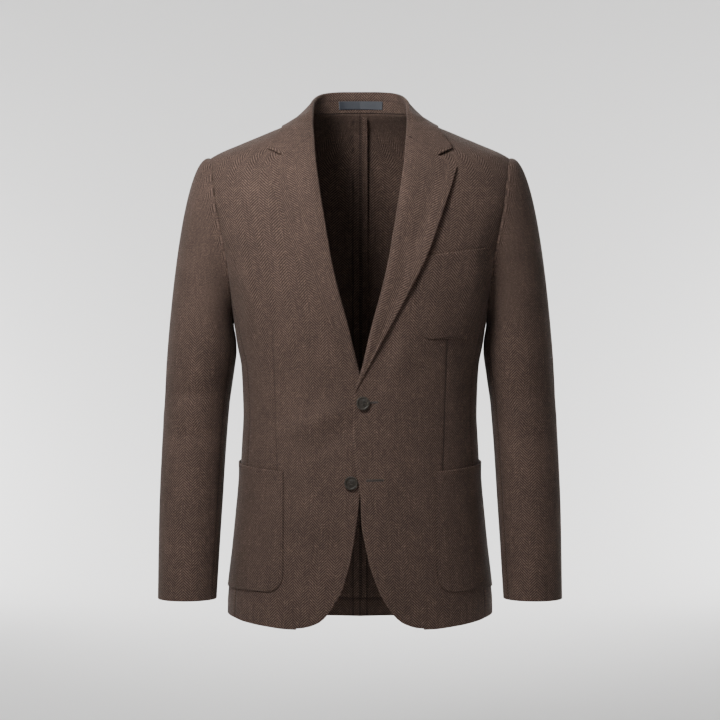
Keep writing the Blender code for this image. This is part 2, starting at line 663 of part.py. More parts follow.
def collar_tables():
    """Fold middle, leaf edge, seam and outward direction along one half of the collar."""
    rows = []
    for (share, cx, cy, cz, ex, ey, ez), degrees in zip(COLLAR, COLLAR_SEAM):
        angle = math.radians(degrees)
        seam = torso(angle, neck_height(angle), 0.0)
        out = np.array((math.sin(angle), -math.cos(angle), 0.0))
        seam = seam - out * (CLOTH / 2) + np.array((0, 0, STAND_LIFT))
        rows.append((share, cx, cy, cz, ex, ey, ez, *seam, *out))
    for share, height, edge_x, edge_height in COLLAR_FRONT:
        x = float(smooth(ROLL, 1, height)) + ROLL_SETBACK
        angle = float(angle_at(x, height))
        out = torso_normal(angle, height)
        centre = torso(angle, height, -CLOTH / 2)
        beyond = torso(float(angle_at(x + STAND_TUCK, height)), height, -CLOTH / 2)
        seam = beyond - FOLD_RADIUS * out
        edge = torso(float(angle_at(edge_x, edge_height)), edge_height, LEAF_GAP + FACING / 2)
        rows.append((share, *centre, *edge, *seam, *out))
    return rows


def collar_section(table, share):
    """The collar's cut at one place: stand, fold and leaf."""
    def read(first, at=share):
        return np.array([float(smooth(table, first + k, at)) for k in range(3)])
    centre, edge, seam, out = read(1), read(4), read(7), unit(read(10))
    step = 0.01
    along = np.array((1.0, 0.0, 0.0))
    if share > step:
        along = unit(read(1, min(share + step, 1)) - read(1, share - step))
    up = unit(np.cross(along, out))
    top = centre - FOLD_RADIUS * out
    stand = [seam, seam + (top - seam) * 0.5]
    start = centre + FOLD_RADIUS * out
    corner_bend = float(ease(GORGE_FROM, 1.0, share))
    dip = LEAF_HOLLOW * float(ease(0.15, 0.5, share) * (1 - ease(0.7, 0.95, share)))
    corner_height = GORGE_ROLL + GORGE_SLOPE * (GORGE_CORNER - start[0]) + 2 * SEAM_GAP
    corner = np.array((GORGE_CORNER, 0, corner_height))
    leaf = []
    for v in LEAF_SHARES:
        point = start + (edge - start) * v
        if v < GORGE_SHARE:
            bent = start + (corner - start) * (v / GORGE_SHARE)
        else:
            bent = corner + (edge - corner) * ((v - GORGE_SHARE) / (1 - GORGE_SHARE))
        bent[1] = point[1]
        point = point + (bent - point) * corner_bend
        point = point - out * dip * 4 * v * (1 - v)
        if corner_bend > 0:
            angle = float(angle_at(point[0], point[2]))
            laid = torso(angle, point[2], LEAF_GAP + FACING / 2)
            point = point + (laid - point) * min(1, corner_bend * 3)
        leaf.append(above_torso(point, LEAF_GAP + FACING / 2))
    return folded_section(stand, centre, up, out, leaf)


def collar():
    """Stand and leaf in one folded strip, from notch to notch round the neck."""
    table = collar_tables()
    shares = np.linspace(0, 1, COLLAR_ROWS)
    half = [np.array(collar_section(table, float(share))) for share in shares]
    grid = [row * (-1, 1, 1) for row in half[:0:-1]] + half
    return folded_wall("collar", np.array(grid), FACING, linen(), flip=True)


def neck_label():
    """A bare woven label on the inside of the stand."""
    table = collar_tables()
    grid = []
    step = 1 / (COLLAR_ROWS - 1)
    for share in (-LABEL_REACH, -2 * step, -step, 0.0, step, 2 * step, LABEL_REACH):
        section = collar_section(table, abs(share))
        seam, top = section[0], section[2]
        mirror = np.array((-1 if share < 0 else 1, 1, 1))
        out = unit(np.array([float(smooth(table, 10 + k, abs(share))) for k in range(3)]))
        place = [(seam + (top - seam) * f) * mirror for f in LABEL_SHARE]
        grid.append([(p, -out * mirror) for p in place])
    grid = np.array(grid)
    near = grid[:, :, 0] + (FACING / 2 + FOLD_GAP) * grid[:, :, 1]
    far = near + LABEL * grid[:, :, 1]
    return cloth_wall("neck_label", far, near, material("label", NAVY, 0.6), flip=True)


# ---------------------------------------------------------------- pockets
def walk(start_x, height, distances):
    """Angles of the points this far along the level section from start_x."""
    angles = np.linspace(float(angle_at(start_x, height)) - 0.3, math.pi * 0.75, 400)
    points = bare_torso(angles, np.full_like(angles, height))
    length = np.concatenate([[0], np.cumsum(np.linalg.norm(np.diff(points, axis=0), axis=1))])
    origin = np.interp(float(angle_at(start_x, height)), angles, length)
    return np.interp(origin + distances, length, angles)


def patch(name, side, inner, width, mouth, floor, corner, rows, columns):
    """A patch pocket: square mouth, rounded lower corners, bent round the body."""
    outside, inside = [], []
    for share in np.linspace(0, 1, rows) ** POCKET_CROWDING:
        rise = share * (mouth[0] - floor)
        drop = corner - rise
        cut = corner - math.sqrt(max(corner ** 2 - drop ** 2, 0)) if drop > 0 else 0.0
        across = np.linspace(cut, width - cut, columns)
        height = floor + share * (mouth[0] + (mouth[1] - mouth[0]) * across / width - floor)
        angles = walk(inner, floor + rise, across)
        outside.append(front_cloth(side, angles, height, LAID_GAP + POCKET))
        inside.append(front_cloth(side, angles, height, LAID_GAP))
    return cloth_wall(name, np.array(outside), np.array(inside), linen(), flip=side < 0)


# ---------------------------------------------------------------- buttons
def button(name, x, height, side):
    """A dished four-hole button facing out from the front that carries it."""
    own_x = x * side
    angle = float(angle_at(own_x, height))
    seat = front_cloth(side, angle, height, BUTTON_SEAT)
    out = unit(front_cloth(side, angle, height, 2 * BUTTON_SEAT) - seat)
    vertices, faces = [], []
    rings = []
    for radius, level in BUTTON_PROFILE:
        count = 1 if radius == 0 else BUTTON_SIDES
        rings.append(range(len(vertices), len(vertices) + count))
        for k in range(count):
            a = 2 * math.pi * k / BUTTON_SIDES
            vertices.append((radius * math.cos(a), radius * math.sin(a), level))
    for low, high in zip(rings, rings[1:]):
        for k in range(BUTTON_SIDES):
            n = (k + 1) % BUTTON_SIDES
            face = [low[k % len(low)], low[n % len(low)], high[n % len(high)], high[k % len(high)]]
            faces.append(list(dict.fromkeys(face)))
    mesh = bpy.data.meshes.new(name)
    mesh.from_pydata(vertices, [], faces)
    piece = add_object(name, mesh, material("horn", HORN, 0.35))
    turn = Vector(out).to_track_quat("Z", "Y").to_matrix().to_4x4()
    piece.matrix_world = Matrix.Translation(Vector(seat)) @ turn
    for i in (-1, 1):
        for j in (-1, 1):
            bpy.ops.mesh.primitive_cylinder_add(vertices=8, radius=HOLE_RADIUS, depth=2 * BUTTON_RADIUS)
            drill = bpy.context.object
            drill.name = f"{name}_drill_{i + 1}{j + 1}"
            place = Matrix.Translation((i * HOLE_SPACING, j * HOLE_SPACING, 0))
            drill.matrix_world = piece.matrix_world @ place
            drill.hide_render = True
            drill.display_type = "WIRE"
            cut = piece.modifiers.new("hole", "BOOLEAN")
            cut.operation = "DIFFERENCE"
            cut.object = drill
    return piece


def main():
    for old in list(bpy.data.objects):
        bpy.data.objects.remove(old)
    for side in (1, -1):
        front_panel(side)
        back_panel(side)
        side_panel(side)
        sleeve(side, "top")
        sleeve(side, "under")
        lapel(side)
        name = "patch_pocket_left" if side > 0 else "patch_pocket_right"
        patch(name, side, PATCH_INNER, PATCH_WIDTH, PATCH_MOUTH, PATCH_FLOOR, PATCH_CORNER, 9, 10)
    patch("chest_pocket", 1, CHEST_INNER, CHEST_WIDTH, CHEST_MOUTH, CHEST_FLOOR, CHEST_CORNER, 8, 8)
    collar()
    neck_label()
    for row in BUTTONS:
        button(*row)


main()
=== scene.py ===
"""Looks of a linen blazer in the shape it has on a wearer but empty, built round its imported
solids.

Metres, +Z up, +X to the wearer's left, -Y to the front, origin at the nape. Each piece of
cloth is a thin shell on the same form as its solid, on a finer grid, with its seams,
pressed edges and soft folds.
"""
import math
from functools import partial

import bmesh
import bpy
import numpy as np
from bpy.props import FloatProperty, FloatVectorProperty, PointerProperty
from mathutils import Matrix, Vector


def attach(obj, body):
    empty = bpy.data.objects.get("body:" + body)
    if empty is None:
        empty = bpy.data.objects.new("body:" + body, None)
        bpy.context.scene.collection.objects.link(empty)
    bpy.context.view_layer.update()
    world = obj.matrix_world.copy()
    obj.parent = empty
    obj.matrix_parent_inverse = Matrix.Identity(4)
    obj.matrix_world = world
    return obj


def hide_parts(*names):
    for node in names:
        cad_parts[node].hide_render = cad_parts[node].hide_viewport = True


bl_info = {
    "name": "Linen blazer",
    "version": (1, 0),
    "blender": (4, 5, 0),
    "location": "3D View > Sidebar > Blazer",
    "description": "Cloth, buttons, stitching and a plain stage for a linen blazer",
    "category": "Object",
}

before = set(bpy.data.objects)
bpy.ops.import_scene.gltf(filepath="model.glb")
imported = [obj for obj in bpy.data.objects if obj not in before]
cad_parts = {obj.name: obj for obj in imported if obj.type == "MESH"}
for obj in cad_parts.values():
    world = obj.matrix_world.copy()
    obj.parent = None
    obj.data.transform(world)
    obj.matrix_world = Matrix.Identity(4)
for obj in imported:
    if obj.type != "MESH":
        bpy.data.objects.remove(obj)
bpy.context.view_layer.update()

# ---------------------------------------------------------------- the garment's own sizes
CLOTH = 0.002             # wall of the body and the sleeves
FACING = 0.0018           # wall of the lapels and the collar
POCKET = 0.0015           # wall of a patch pocket
FOLD_GAP = 0.0004         # between a front's edge and the lapel folded round it
LAID_GAP = 0.0009         # between a panel and what lies on it
LAP = 0.0014              # how far each front moves out or in where they overlap
LAP_FADE = (0.02, 0.075)
LAP_TOP = (-0.385, -0.33)
FOLD_RADIUS = (CLOTH + FACING) / 2 + FOLD_GAP
ROLL_SETBACK = FOLD_RADIUS + FACING / 2

TORSO = (
    # height, half width, front depth, back depth, squareness
    (-0.76, 0.1925, 0.138, 0.135, 2.3), (-0.715, 0.192, 0.138, 0.134, 2.3),
    (-0.677, 0.1885, 0.137, 0.133, 2.3), (-0.638, 0.1838, 0.136, 0.13, 2.3),
    (-0.59, 0.179, 0.135, 0.126, 2.28), (-0.54, 0.1745, 0.133, 0.119, 2.26),
    (-0.482, 0.1712, 0.131, 0.11, 2.25), (-0.4445, 0.1694, 0.129, 0.107, 2.25),
    (-0.419, 0.17, 0.129, 0.108, 2.25), (-0.376, 0.1722, 0.131, 0.113, 2.28),
    (-0.344, 0.178, 0.133, 0.118, 2.35), (-0.306, 0.184, 0.135, 0.124, 2.48),
    (-0.266, 0.1941, 0.1345, 0.129, 2.58), (-0.23, 0.204, 0.1325, 0.132, 2.6),
    (-0.196, 0.2138, 0.1285, 0.132, 2.6), (-0.162, 0.2233, 0.1215, 0.13, 2.6),
    (-0.135, 0.23, 0.114, 0.127, 2.5), (-0.106, 0.2325, 0.103, 0.122, 2.32),
    (-0.09, 0.229, 0.0945, 0.118, 2.2), (-0.0767, 0.2208, 0.087, 0.1135, 2.1),
    (-0.067, 0.206, 0.081, 0.11, 2.05), (-0.0543, 0.1768, 0.072, 0.105, 2.0),
    (-0.0418, 0.1468, 0.061, 0.099, 2.0), (-0.0297, 0.118, 0.05, 0.093, 2.0),
    (-0.0276, 0.1122, 0.048, 0.092, 2.0),
    (-0.0155, 0.0915, 0.04, 0.083, 2.0), (-0.008, 0.0785, 0.034, 0.077, 2.0),
    (0.0, 0.069, 0.028, 0.072, 2.0),
)
NECK_POINT = -0.008       # height where the shoulder seam meets the neck
NECK_CURVE = 1.5
HEM = (
    # degrees round the torso, height of the hem
    (0, -0.7434), (30, -0.7433), (42, -0.7407), (56, -0.7367), (69, -0.7329),
    (90, -0.7309), (112, -0.7346), (132, -0.7433), (150, -0.7502), (180, -0.7534),
)
HEM_BASE = -0.735
HEM_FADE = -0.62
FRONT_EDGE = (
    # height, left front, right front
    (-0.7418, 0.0898, 0.0898), (-0.7405, 0.079, 0.079), (-0.738, 0.0701, 0.069),
    (-0.7312, 0.0563, 0.055), (-0.7194, 0.0447, 0.044), (-0.7056, 0.0355, 0.035),
    (-0.6905, 0.0274, 0.0262), (-0.665, 0.0172, 0.018), (-0.6454, 0.0117, 0.013),
    (-0.5895, 0.0017, 0.004), (-0.5574, 0.0006, 0.0005), (-0.5392, -0.002, -0.0015),
    (-0.5225, -0.0045, -0.004), (-0.5071, -0.007, -0.0065), (-0.482, -0.009, -0.009),
    (-0.456, -0.0096, -0.0092), (-0.43, -0.0094, -0.007), (-0.4107, -0.0073, -0.003),
    (-0.399, -0.002, 0.002), (-0.39, 0.0022, 0.0052), (-0.38, 0.0052, 0.0066),
)
ROLL = (
    # height, distance of the roll's crest from the middle
    (-0.4107, -0.0073), (-0.397, -0.0035), (-0.383, 0.0009), (-0.357, 0.007),
    (-0.32, 0.0157), (-0.268, 0.0298), (-0.227, 0.0393), (-0.178, 0.0475),
    (-0.13, 0.0555), (-0.08, 0.0623), (-0.049, 0.065), (-0.03, 0.067),
    (-0.012, 0.0676), (0.0, 0.0676),
)
SIDE_SEAMS = (
    # height, front seam degrees, back seam degrees
    (-0.76, 64.0, 117.0), (-0.45, 65.0, 116.0), (-0.27, 68.0, 114.5),
)
ARMHOLE_MID = -0.19
ARMHOLE_RISE = 0.1165
ARMHOLE_FRONT = 0.07
ARMHOLE_BACK = 0.074
ARMHOLE_SQUARE = 2.2
ARMHOLE_STEPS = 24
JOIN_STEP = 9
JOIN_BLEND = 0.03         # the side seams bend to meet the armhole over this height
UNDERARM_TURN = -0.45
SHOULDER_TOP = -0.0105    # the last row of the fronts and the backs, at the neck

SLEEVE = (
    # height, middle x, half width, middle y, half depth
    (-0.365, 0.2305, 0.0502, 0.0, 0.0665), (-0.4344, 0.2373, 0.0474, 0.003, 0.061),
    (-0.4967, 0.241, 0.0466, -0.005, 0.057), (-0.5542, 0.2435, 0.046, -0.014, 0.054),
    (-0.6113, 0.2453, 0.0447, -0.026, 0.0515), (-0.7077, 0.2478, 0.0422, -0.043, 0.048),
)
CAP_PROUD = 0.0004
CAP_LEAVE_X = (0.1, 0.965)
CAP_LEAVE_Z = (-1.0, 0.263)
CAP_LEAVE_TURN = 0.35
CAP_LIFT_TURN = 3.0       # only the very top of the cap leaves upwards
CAP_TUCK = (0.0036, 0.0026)  # the sleeve's head reaches in under the body
CAP_REACH = (0.011, 0.0459)
CAP_LEAD = (0.03, -0.0109)
CAP_FOOT = -0.365
CUFF = -0.7077
UNDER_STEPS = (10, 17)

LAPEL_EDGE = {
    # share of the lapel's height, height, distance from the middle
    1: ((0.0, -0.4108, -0.0062), (0.05, -0.3905, 0.004), (0.1, -0.372, 0.014),
        (0.2, -0.338, 0.032), (0.34, -0.299, 0.053), (0.48, -0.257, 0.075),
        (0.62, -0.212, 0.096), (0.76, -0.165, 0.113), (0.9, -0.117, 0.1295),
        (1.0, -0.094, 0.1366)),
    -1: ((0.0, -0.3885, 0.0034), (0.08, -0.371, 0.015), (0.2, -0.338, 0.03),
         (0.34, -0.299, 0.05), (0.48, -0.257, 0.0715), (0.62, -0.212, 0.0905),
         (0.76, -0.165, 0.107), (0.9, -0.117, 0.125), (1.0, -0.094, 0.1363)),
}
LAPEL_FOOT = {1: (-0.4115, -0.385), -1: (-0.389, -0.364)}  # the fold grows from nothing
LAPEL_FOLD_LEAST = 0.1
LAPEL_BELLY = {1: 0.0022, -1: 0.0016}  # the roll's fullness beside its crest
LAPEL_BELLY_AT = 0.13
LAPEL_SPRING = {1: 0.0042, -1: 0.0012}  # how far the free edge stands off
LAPEL_FULL = 0.05
LAPEL_SHARES = (0.8, 1.0)  # the lapel comes level with the collar over these
LAPEL_LEAST = 0.0012
POCKET_RAMP = ((-0.05, -0.025), (0.006, 0.026), (-0.022, -0.006))
GORGE_ROLL = -0.049
GORGE_CORNER = 0.108
GORGE_SLOPE = -0.0495 / 0.0685
GORGE_SHARE = 0.68
GORGE_FROM = 0.8
COLLAR = (
    # share, middle of the fold x, y, z, leaf's outer edge x, y, z
    (0.0, 0.0, 0.0722, 0.0289, 0.0, 0.085, -0.0125),
    (0.12, 0.022, 0.0712, 0.0288, 0.029, 0.0835, -0.0135),
    (0.24, 0.042, 0.065, 0.0272, 0.057, 0.0775, -0.016),
    (0.36, 0.057, 0.05, 0.0228, 0.082, 0.065, -0.0195),
    (0.48, 0.0655, 0.03, 0.0152, 0.1005, 0.043, -0.024),
    (0.6, 0.0697, 0.009, 0.0055, 0.111, 0.012, -0.0268),
)
COLLAR_SEAM = (180, 163, 146, 128, 110, 93)
COLLAR_FRONT = (
    # share, height of the fold, leaf's outer edge x, height
    (0.73, -0.008, 0.1125, -0.033), (0.87, -0.025, 0.1165, -0.044),
    (1.0, GORGE_ROLL, 0.1305, -0.068),
)
STAND_LIFT = 0.0002
STAND_TUCK = 0.0015
LEAF_GAP = 0.0023
LEAF_HOLLOW = 0.0014

PATCH_INNER = 0.1075
PATCH_WIDTH = 0.164
PATCH_MOUTH = (-0.523, -0.51)
PATCH_FLOOR = -0.692
PATCH_CORNER = 0.026
CHEST_INNER = 0.079
CHEST_WIDTH = 0.106
CHEST_MOUTH = (-0.2225, -0.2065)
CHEST_FLOOR = -0.3365
CHEST_CORNER = 0.02

BUTTON_RADIUS = 0.0094
BUTTONS = (
    # name, x, height, which front carries it
    ("button_top", 0.0042, -0.4265, 1),
    ("button_low", -0.0126, -0.538, -1),
)

# Soft folds of the body, as lines over the front (-1) or back (+1).
CREASES = (
    # side, from x, from z, to x, to z, half breadth, height
    (-1, -0.004, -0.43, -0.105, -0.466, 0.015, 0.0038),
    (-1, -0.01, -0.462, -0.075, -0.5, 0.014, -0.0024),
    (-1, 0.012, -0.434, 0.105, -0.47, 0.018, 0.002),
    (-1, 0.048, -0.318, 0.022, -0.408, 0.013, -0.0034),
    (-1, -0.016, -0.402, -0.085, -0.325, 0.016, 0.0022),
    (-1, 0.016, -0.402, 0.08, -0.335, 0.016, 0.0018),
    (-1, -0.166, -0.175, -0.15, -0.33, 0.014, 0.003),
    (-1, 0.168, -0.17, 0.152, -0.32, 0.014, 0.0028),
    (1, -0.168, -0.16, -0.14, -0.34, 0.018, 0.0042),
    (1, 0.166, -0.15, 0.146, -0.35, 0.018, 0.0038),
    (1, -0.12, -0.445, 0.02, -0.425, 0.016, 0.0028),
    (1, 0.03, -0.405, 0.13, -0.43, 0.015, 0.0024),
    (1, -0.06, -0.385, 0.03, -0.37, 0.014, -0.002),
)
SLEEVE_CREASES = (
    # height, degrees from the outer side, half rise, half degrees, height of the fold
    (-0.415, 75, 0.012, 42, -0.003), (-0.447, 60, 0.013, 38, 0.0022),
    (-0.476, 88, 0.012, 40, -0.0022), (-0.4, 265, 0.014, 48, 0.0028),
    (-0.43, 275, 0.012, 50, -0.0032), (-0.585, 80, 0.018, 44, 0.0018),
)

# The back seam's allowances, bound together, stand off inside the back.
STRIP = (
    # height, free edge's distance from the middle, how far it stands off
    (-0.7235, 0.0088, 0.001), (-0.64, 0.0092, 0.0022), (-0.54, 0.01, 0.0014),
    (-0.4, 0.011, 0.0036), (-0.24, 0.0116, 0.0052), (-0.1, 0.0114, 0.0044),
    (-0.004, 0.0116, 0.0036),
)
STRIP_ROOT = 0.0014
STRIP_HALF = 0.0005       # half the strip's thickness

# Finish of the sewing.
NEAR_EDGE = (0.0003, 0.0008, 0.0015, 0.0028, 0.005, 0.0078, 0.0096, 0.0106)
SEAM_DIP = 0.0005         # depth of the valley along a pressed seam
SEAM_BREADTH = 0.0022
SEAM_LINE = 0.0009        # half breadth of the line of painted shade in the valley
ALLOWANCE = 0.01          # breadth of the seam allowances inside
ALLOWANCE_END = (ALLOWANCE - 0.0002, ALLOWANCE + 0.0005)
HEM_TURN = 0.0265         # height of the hem's turn-up inside
TURN_LINES = (0.025, 0.0261, 0.0268, 0.0275, 0.0286)
TURN_WALL = 0.0008        # how far a turn-up or a seam allowance thickens the inside
TURN_EDGE = 0.0011        # a turn-up's line of painted shadow runs this far above it
INNER_DIP = 0.3           # how much of a seam's valley shows inside
SHOULDER_QUIET = (-0.12, -0.09)  # above this the armhole seam hardly shows


# ---------------------------------------------------------------- curves and forms
def smooth(table, column, at):
    """Read a column of a table at `at`, on a smooth curve that never overshoots its rows."""
    rows = sorted(table)
    knots = np.array([row[0] for row in rows], float)
    values = np.array([row[column] for row in rows], float)
    step = np.diff(knots)
    slope = np.diff(values) / step
    tangent = np.zeros(len(knots))
    tangent[0], tangent[-1] = slope[0], slope[-1]
    same = slope[1:] * slope[:-1] > 0
    tangent[1:-1][same] = 2 / (1 / slope[1:][same] + 1 / slope[:-1][same])
    at = np.asarray(at, float)
    i = np.clip(np.searchsorted(knots, at) - 1, 0, len(step) - 1)
    t = np.clip((at - knots[i]) / step[i], 0, 1)
    h = step[i]
    return (values[i] * (1 + 2 * t) * (1 - t) ** 2 + tangent[i] * h * t * (1 - t) ** 2
            + values[i + 1] * t * t * (3 - 2 * t) + tangent[i + 1] * h * t * t * (t - 1))


def ease(low, high, at):
    """0 below low, 1 above high, smooth between."""
    t = np.clip((np.asarray(at, float) - low) / (high - low), 0, 1)
    return t * t * (3 - 2 * t)


def between(pair, share):
    return pair[0] + (pair[1] - pair[0]) * share


def bell(away, breadth):
    """1 on a line, fading out over this breadth."""
    return np.exp(-(away / breadth) ** 2)


def unit(vector):
    return vector / np.linalg.norm(vector, axis=-1, keepdims=True)


def bare_torso(angle, height):
    """A point of the torso form: angle 0 at the front, 90 degrees at the left side."""
    angle, height = np.broadcast_arrays(np.asarray(angle, float), np.asarray(height, float))
    half, front, back, square = (smooth(TORSO, column, height) for column in (1, 2, 3, 4))
    s, c = np.sin(angle), np.cos(angle)
    radius = (np.abs(s) ** square + np.abs(c) ** square) ** (-1 / square)
    depth = np.where(c > 0, front, back)
    return np.stack([half * radius * s, -depth * radius * c, height], -1)


def torso_normal(angle, height):
    step = 1e-4
    across = bare_torso(angle + step, height) - bare_torso(angle - step, height)
    up = bare_torso(angle, height + step) - bare_torso(angle, height - step)
    return unit(np.cross(across, up))


def crease_height(points):
    """How far the soft folds lift the cloth at these points."""
    lift = np.zeros(points.shape[:-1])
    flat = points[..., (0, 2)]
    for side, x0, z0, x1, z1, breadth, height in CREASES:
        start, along = np.array((x0, z0)), np.array((x1 - x0, z1 - z0))
        share = np.clip(((flat - start) @ along) / (along @ along), 0, 1)
        away = np.linalg.norm(flat - start - share[..., None] * along, axis=-1)
        taper = np.sqrt(np.clip(4 * share * (1 - share), 0.05, 1))
        near = bell(away, breadth) * taper
        lift += height * near * ease(0.01, 0.04, side * points[..., 1])
    return lift


def torso(angle, height, out=0.0):
    """A point of the cloth's outer face, moved out."""
    points = bare_torso(angle, height)
    lift = out + crease_height(points)
    return points + lift[..., None] * torso_normal(angle, height)


def angle_at(x, height):
    """The angle of the front point that lies x from the middle."""
    half, square = smooth(TORSO, 1, height), smooth(TORSO, 4, height)
    u = np.clip(x / half, -1, 1)
    return np.arctan2(u, (1 - np.abs(u) ** square) ** (1 / square))


def lap_shift(side, angle, height):
    """The left front lies over the right one: one moves out, the other in."""
    own_x = np.abs(bare_torso(angle, height)[..., 0])
    return side * LAP * (1 - ease(*LAP_FADE, own_x)) * (1 - ease(*LAP_TOP, height))


def front_cloth(side, angle, height, out=0.0):
    """A point of one front's outer face, moved out; angle and x count on its own side."""
    moved = out + lap_shift(side, angle, height)
    points = bare_torso(angle, height)
    mirrored = points * (side, 1, 1)
    normal = torso_normal(angle, height)
    points = points + (moved + crease_height(mirrored))[..., None] * normal
    return points * (side, 1, 1)


def hem_height(row, angle):
    """Rows near the bottom follow the hem line, rows higher up are level."""
    bend = 1 - ease(HEM_BASE, HEM_FADE, row)
    return row + bend * (smooth(HEM, 1, np.abs(np.degrees(angle))) - HEM_BASE)


def armhole(step):
    """The armhole seam: its angle round the torso and its height, steps from the top."""
    turn = 2 * math.pi * np.asarray(step, float) / ARMHOLE_STEPS
    s, c = np.sin(turn), np.cos(turn)
    power = 2 / ARMHOLE_SQUARE
    reach = np.where(s > 0, -ARMHOLE_FRONT, ARMHOLE_BACK)
    y = reach * np.abs(s) ** power
    height = ARMHOLE_MID + ARMHOLE_RISE * np.sign(c) * np.abs(c) ** power
    depth = np.where(y < 0, smooth(TORSO, 2, height), smooth(TORSO, 3, height))
    square = smooth(TORSO, 4, height)
    v = np.abs(y) / depth
    u = (1 - v ** square) ** (1 / square)
    return np.arctan2(u, np.where(y < 0, v, -v)), height


JOIN_HEIGHT = float(armhole(JOIN_STEP)[1])


def side_seam(direction, height):
    """Angle of the seam in front of (+1) or behind (-1) the side panel."""
    angle = np.radians(smooth(SIDE_SEAMS, 1 if direction > 0 else 2, height))
    meet = armhole(JOIN_STEP * direction)[0]
    shift = meet - np.radians(smooth(SIDE_SEAMS, 1 if direction > 0 else 2, JOIN_HEIGHT))
    return angle + shift * ease(JOIN_HEIGHT - JOIN_BLEND, JOIN_HEIGHT, height)


# ---------------------------------------------------------------- grids and shells
def spaced(width, step, first=True, last=True, lines=()):
    """Shares from 0 to 1 over a width, a step apart and closer together near the ends."""
    near = np.array(NEAR_EDGE)
    start = near[near < width / 3] if first else near[:0]
    end = near[near < width / 3] if last else near[:0]
    low = start[-1] if len(start) else 0.0
    high = width - (end[-1] if len(end) else 0.0)
    count = max(2, int(round((high - low) / step)) + 1)
    middle = np.linspace(low, high, count)
    if len(lines):
        clear = np.min(np.abs(middle[:, None] - np.array(lines)), 1) > step / 3
        clear[0] = clear[-1] = True
        middle = middle[clear]
    parts = [np.zeros(1), start[:-1], middle, np.array(lines), width - end[:-1], np.full(1, width)]
    return np.unique(np.round(np.concatenate(parts), 7)) / width


def runs(grid):
    """Length along each row and along each column, from its first point."""
    across = np.linalg.norm(np.diff(grid, axis=1), axis=-1)
    along = np.linalg.norm(np.diff(grid, axis=0), axis=-1)
    across = np.concatenate([np.zeros((len(grid), 1)), np.cumsum(across, 1)], 1)
    along = np.concatenate([np.zeros((1, grid.shape[1])), np.cumsum(along, 0)], 0)
    return across, along


def edge_ways(grid):
    """Distances from the four edges: first column, last column, first row, last row."""
    across, along = runs(grid)
    return across, across[:, -1:] - across, along, along[-1:] - along


def rounded(distance, radius):
    """Share of a wall's thickness this far from its rounded edge."""
    t = np.clip(distance / radius, 0, 1)
    return np.sqrt(np.clip(1 - (1 - t) ** 2, 0.03, 1))


def grid_normal(grid):
    across = np.gradient(grid, axis=1)
    along = np.gradient(grid, axis=0)
    return unit(np.cross(across, along))


def grid_faces(place, flip):
    """The faces between neighbours in a grid of point numbers."""
    corners = (place[:-1, :-1], place[:-1, 1:], place[1:, 1:], place[1:, :-1])
    faces = np.stack([corner.ravel() for corner in corners], 1)
    return faces[:, ::-1] if flip else faces


def shell(name, outer, inner, uv, marks, flip=False, finish=None):
    """A closed sheet of cloth between two grids, with its weave's coordinates in metres.

    `marks` is the way to the free edge, and the lines of painted shade of the outside and the
    inside.
    """
    rows, columns = outer.shape[:2]
    count = rows * columns
    place = np.arange(count).reshape(rows, columns)
    top = grid_faces(place, flip)
    a = np.concatenate([place[0], place[1:, -1], place[-1, -2::-1], place[-2:0:-1, 0]])
    b = np.roll(a, -1)
    sides = np.stack([b, a, a + count, b + count], 1)
    faces = np.concatenate([top, top[:, ::-1] + count, sides[:, ::-1] if flip else sides])
    points = np.concatenate([outer.reshape(-1, 3), inner.reshape(-1, 3)])
    mesh = bpy.data.meshes.new(name)
    mesh.from_pydata(points.tolist(), [], faces.tolist())
    flat = np.concatenate([uv.reshape(-1, 2)] * 2)
    layer = mesh.uv_layers.new(name="weave")
    layer.data.foreach_set("uv", flat[faces.ravel()].astype(np.float32).ravel())
    edge, outside, inside = marks
    # 'line' holds painted shade along seams, stitch rows and edges; 'edge' is the way to a free
    # edge, where the finish paints a highlight.
    for mark_name, values in (("edge", (edge, edge)), ("line", (outside, inside))):
        mark = mesh.attributes.new(mark_name, "FLOAT", "POINT")
        both = np.concatenate([value.ravel() for value in values])
        mark.data.foreach_set("value", both.astype(np.float32))
    mesh.materials.append((finish or linen_finish)())
    mesh.shade_smooth()
    piece = bpy.data.objects.new(name, mesh)
    bpy.context.scene.collection.objects.link(piece)
    return piece


def dress(piece, node=None):
    """Put a finished piece under the root body, and hide the solid it stands for."""
    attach(piece, "root")
    if node:
        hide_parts(node)


def sew(piece, node):
    """Put a finished sheet under the root body and hide its solid, as dress does."""
    dress(piece, node)


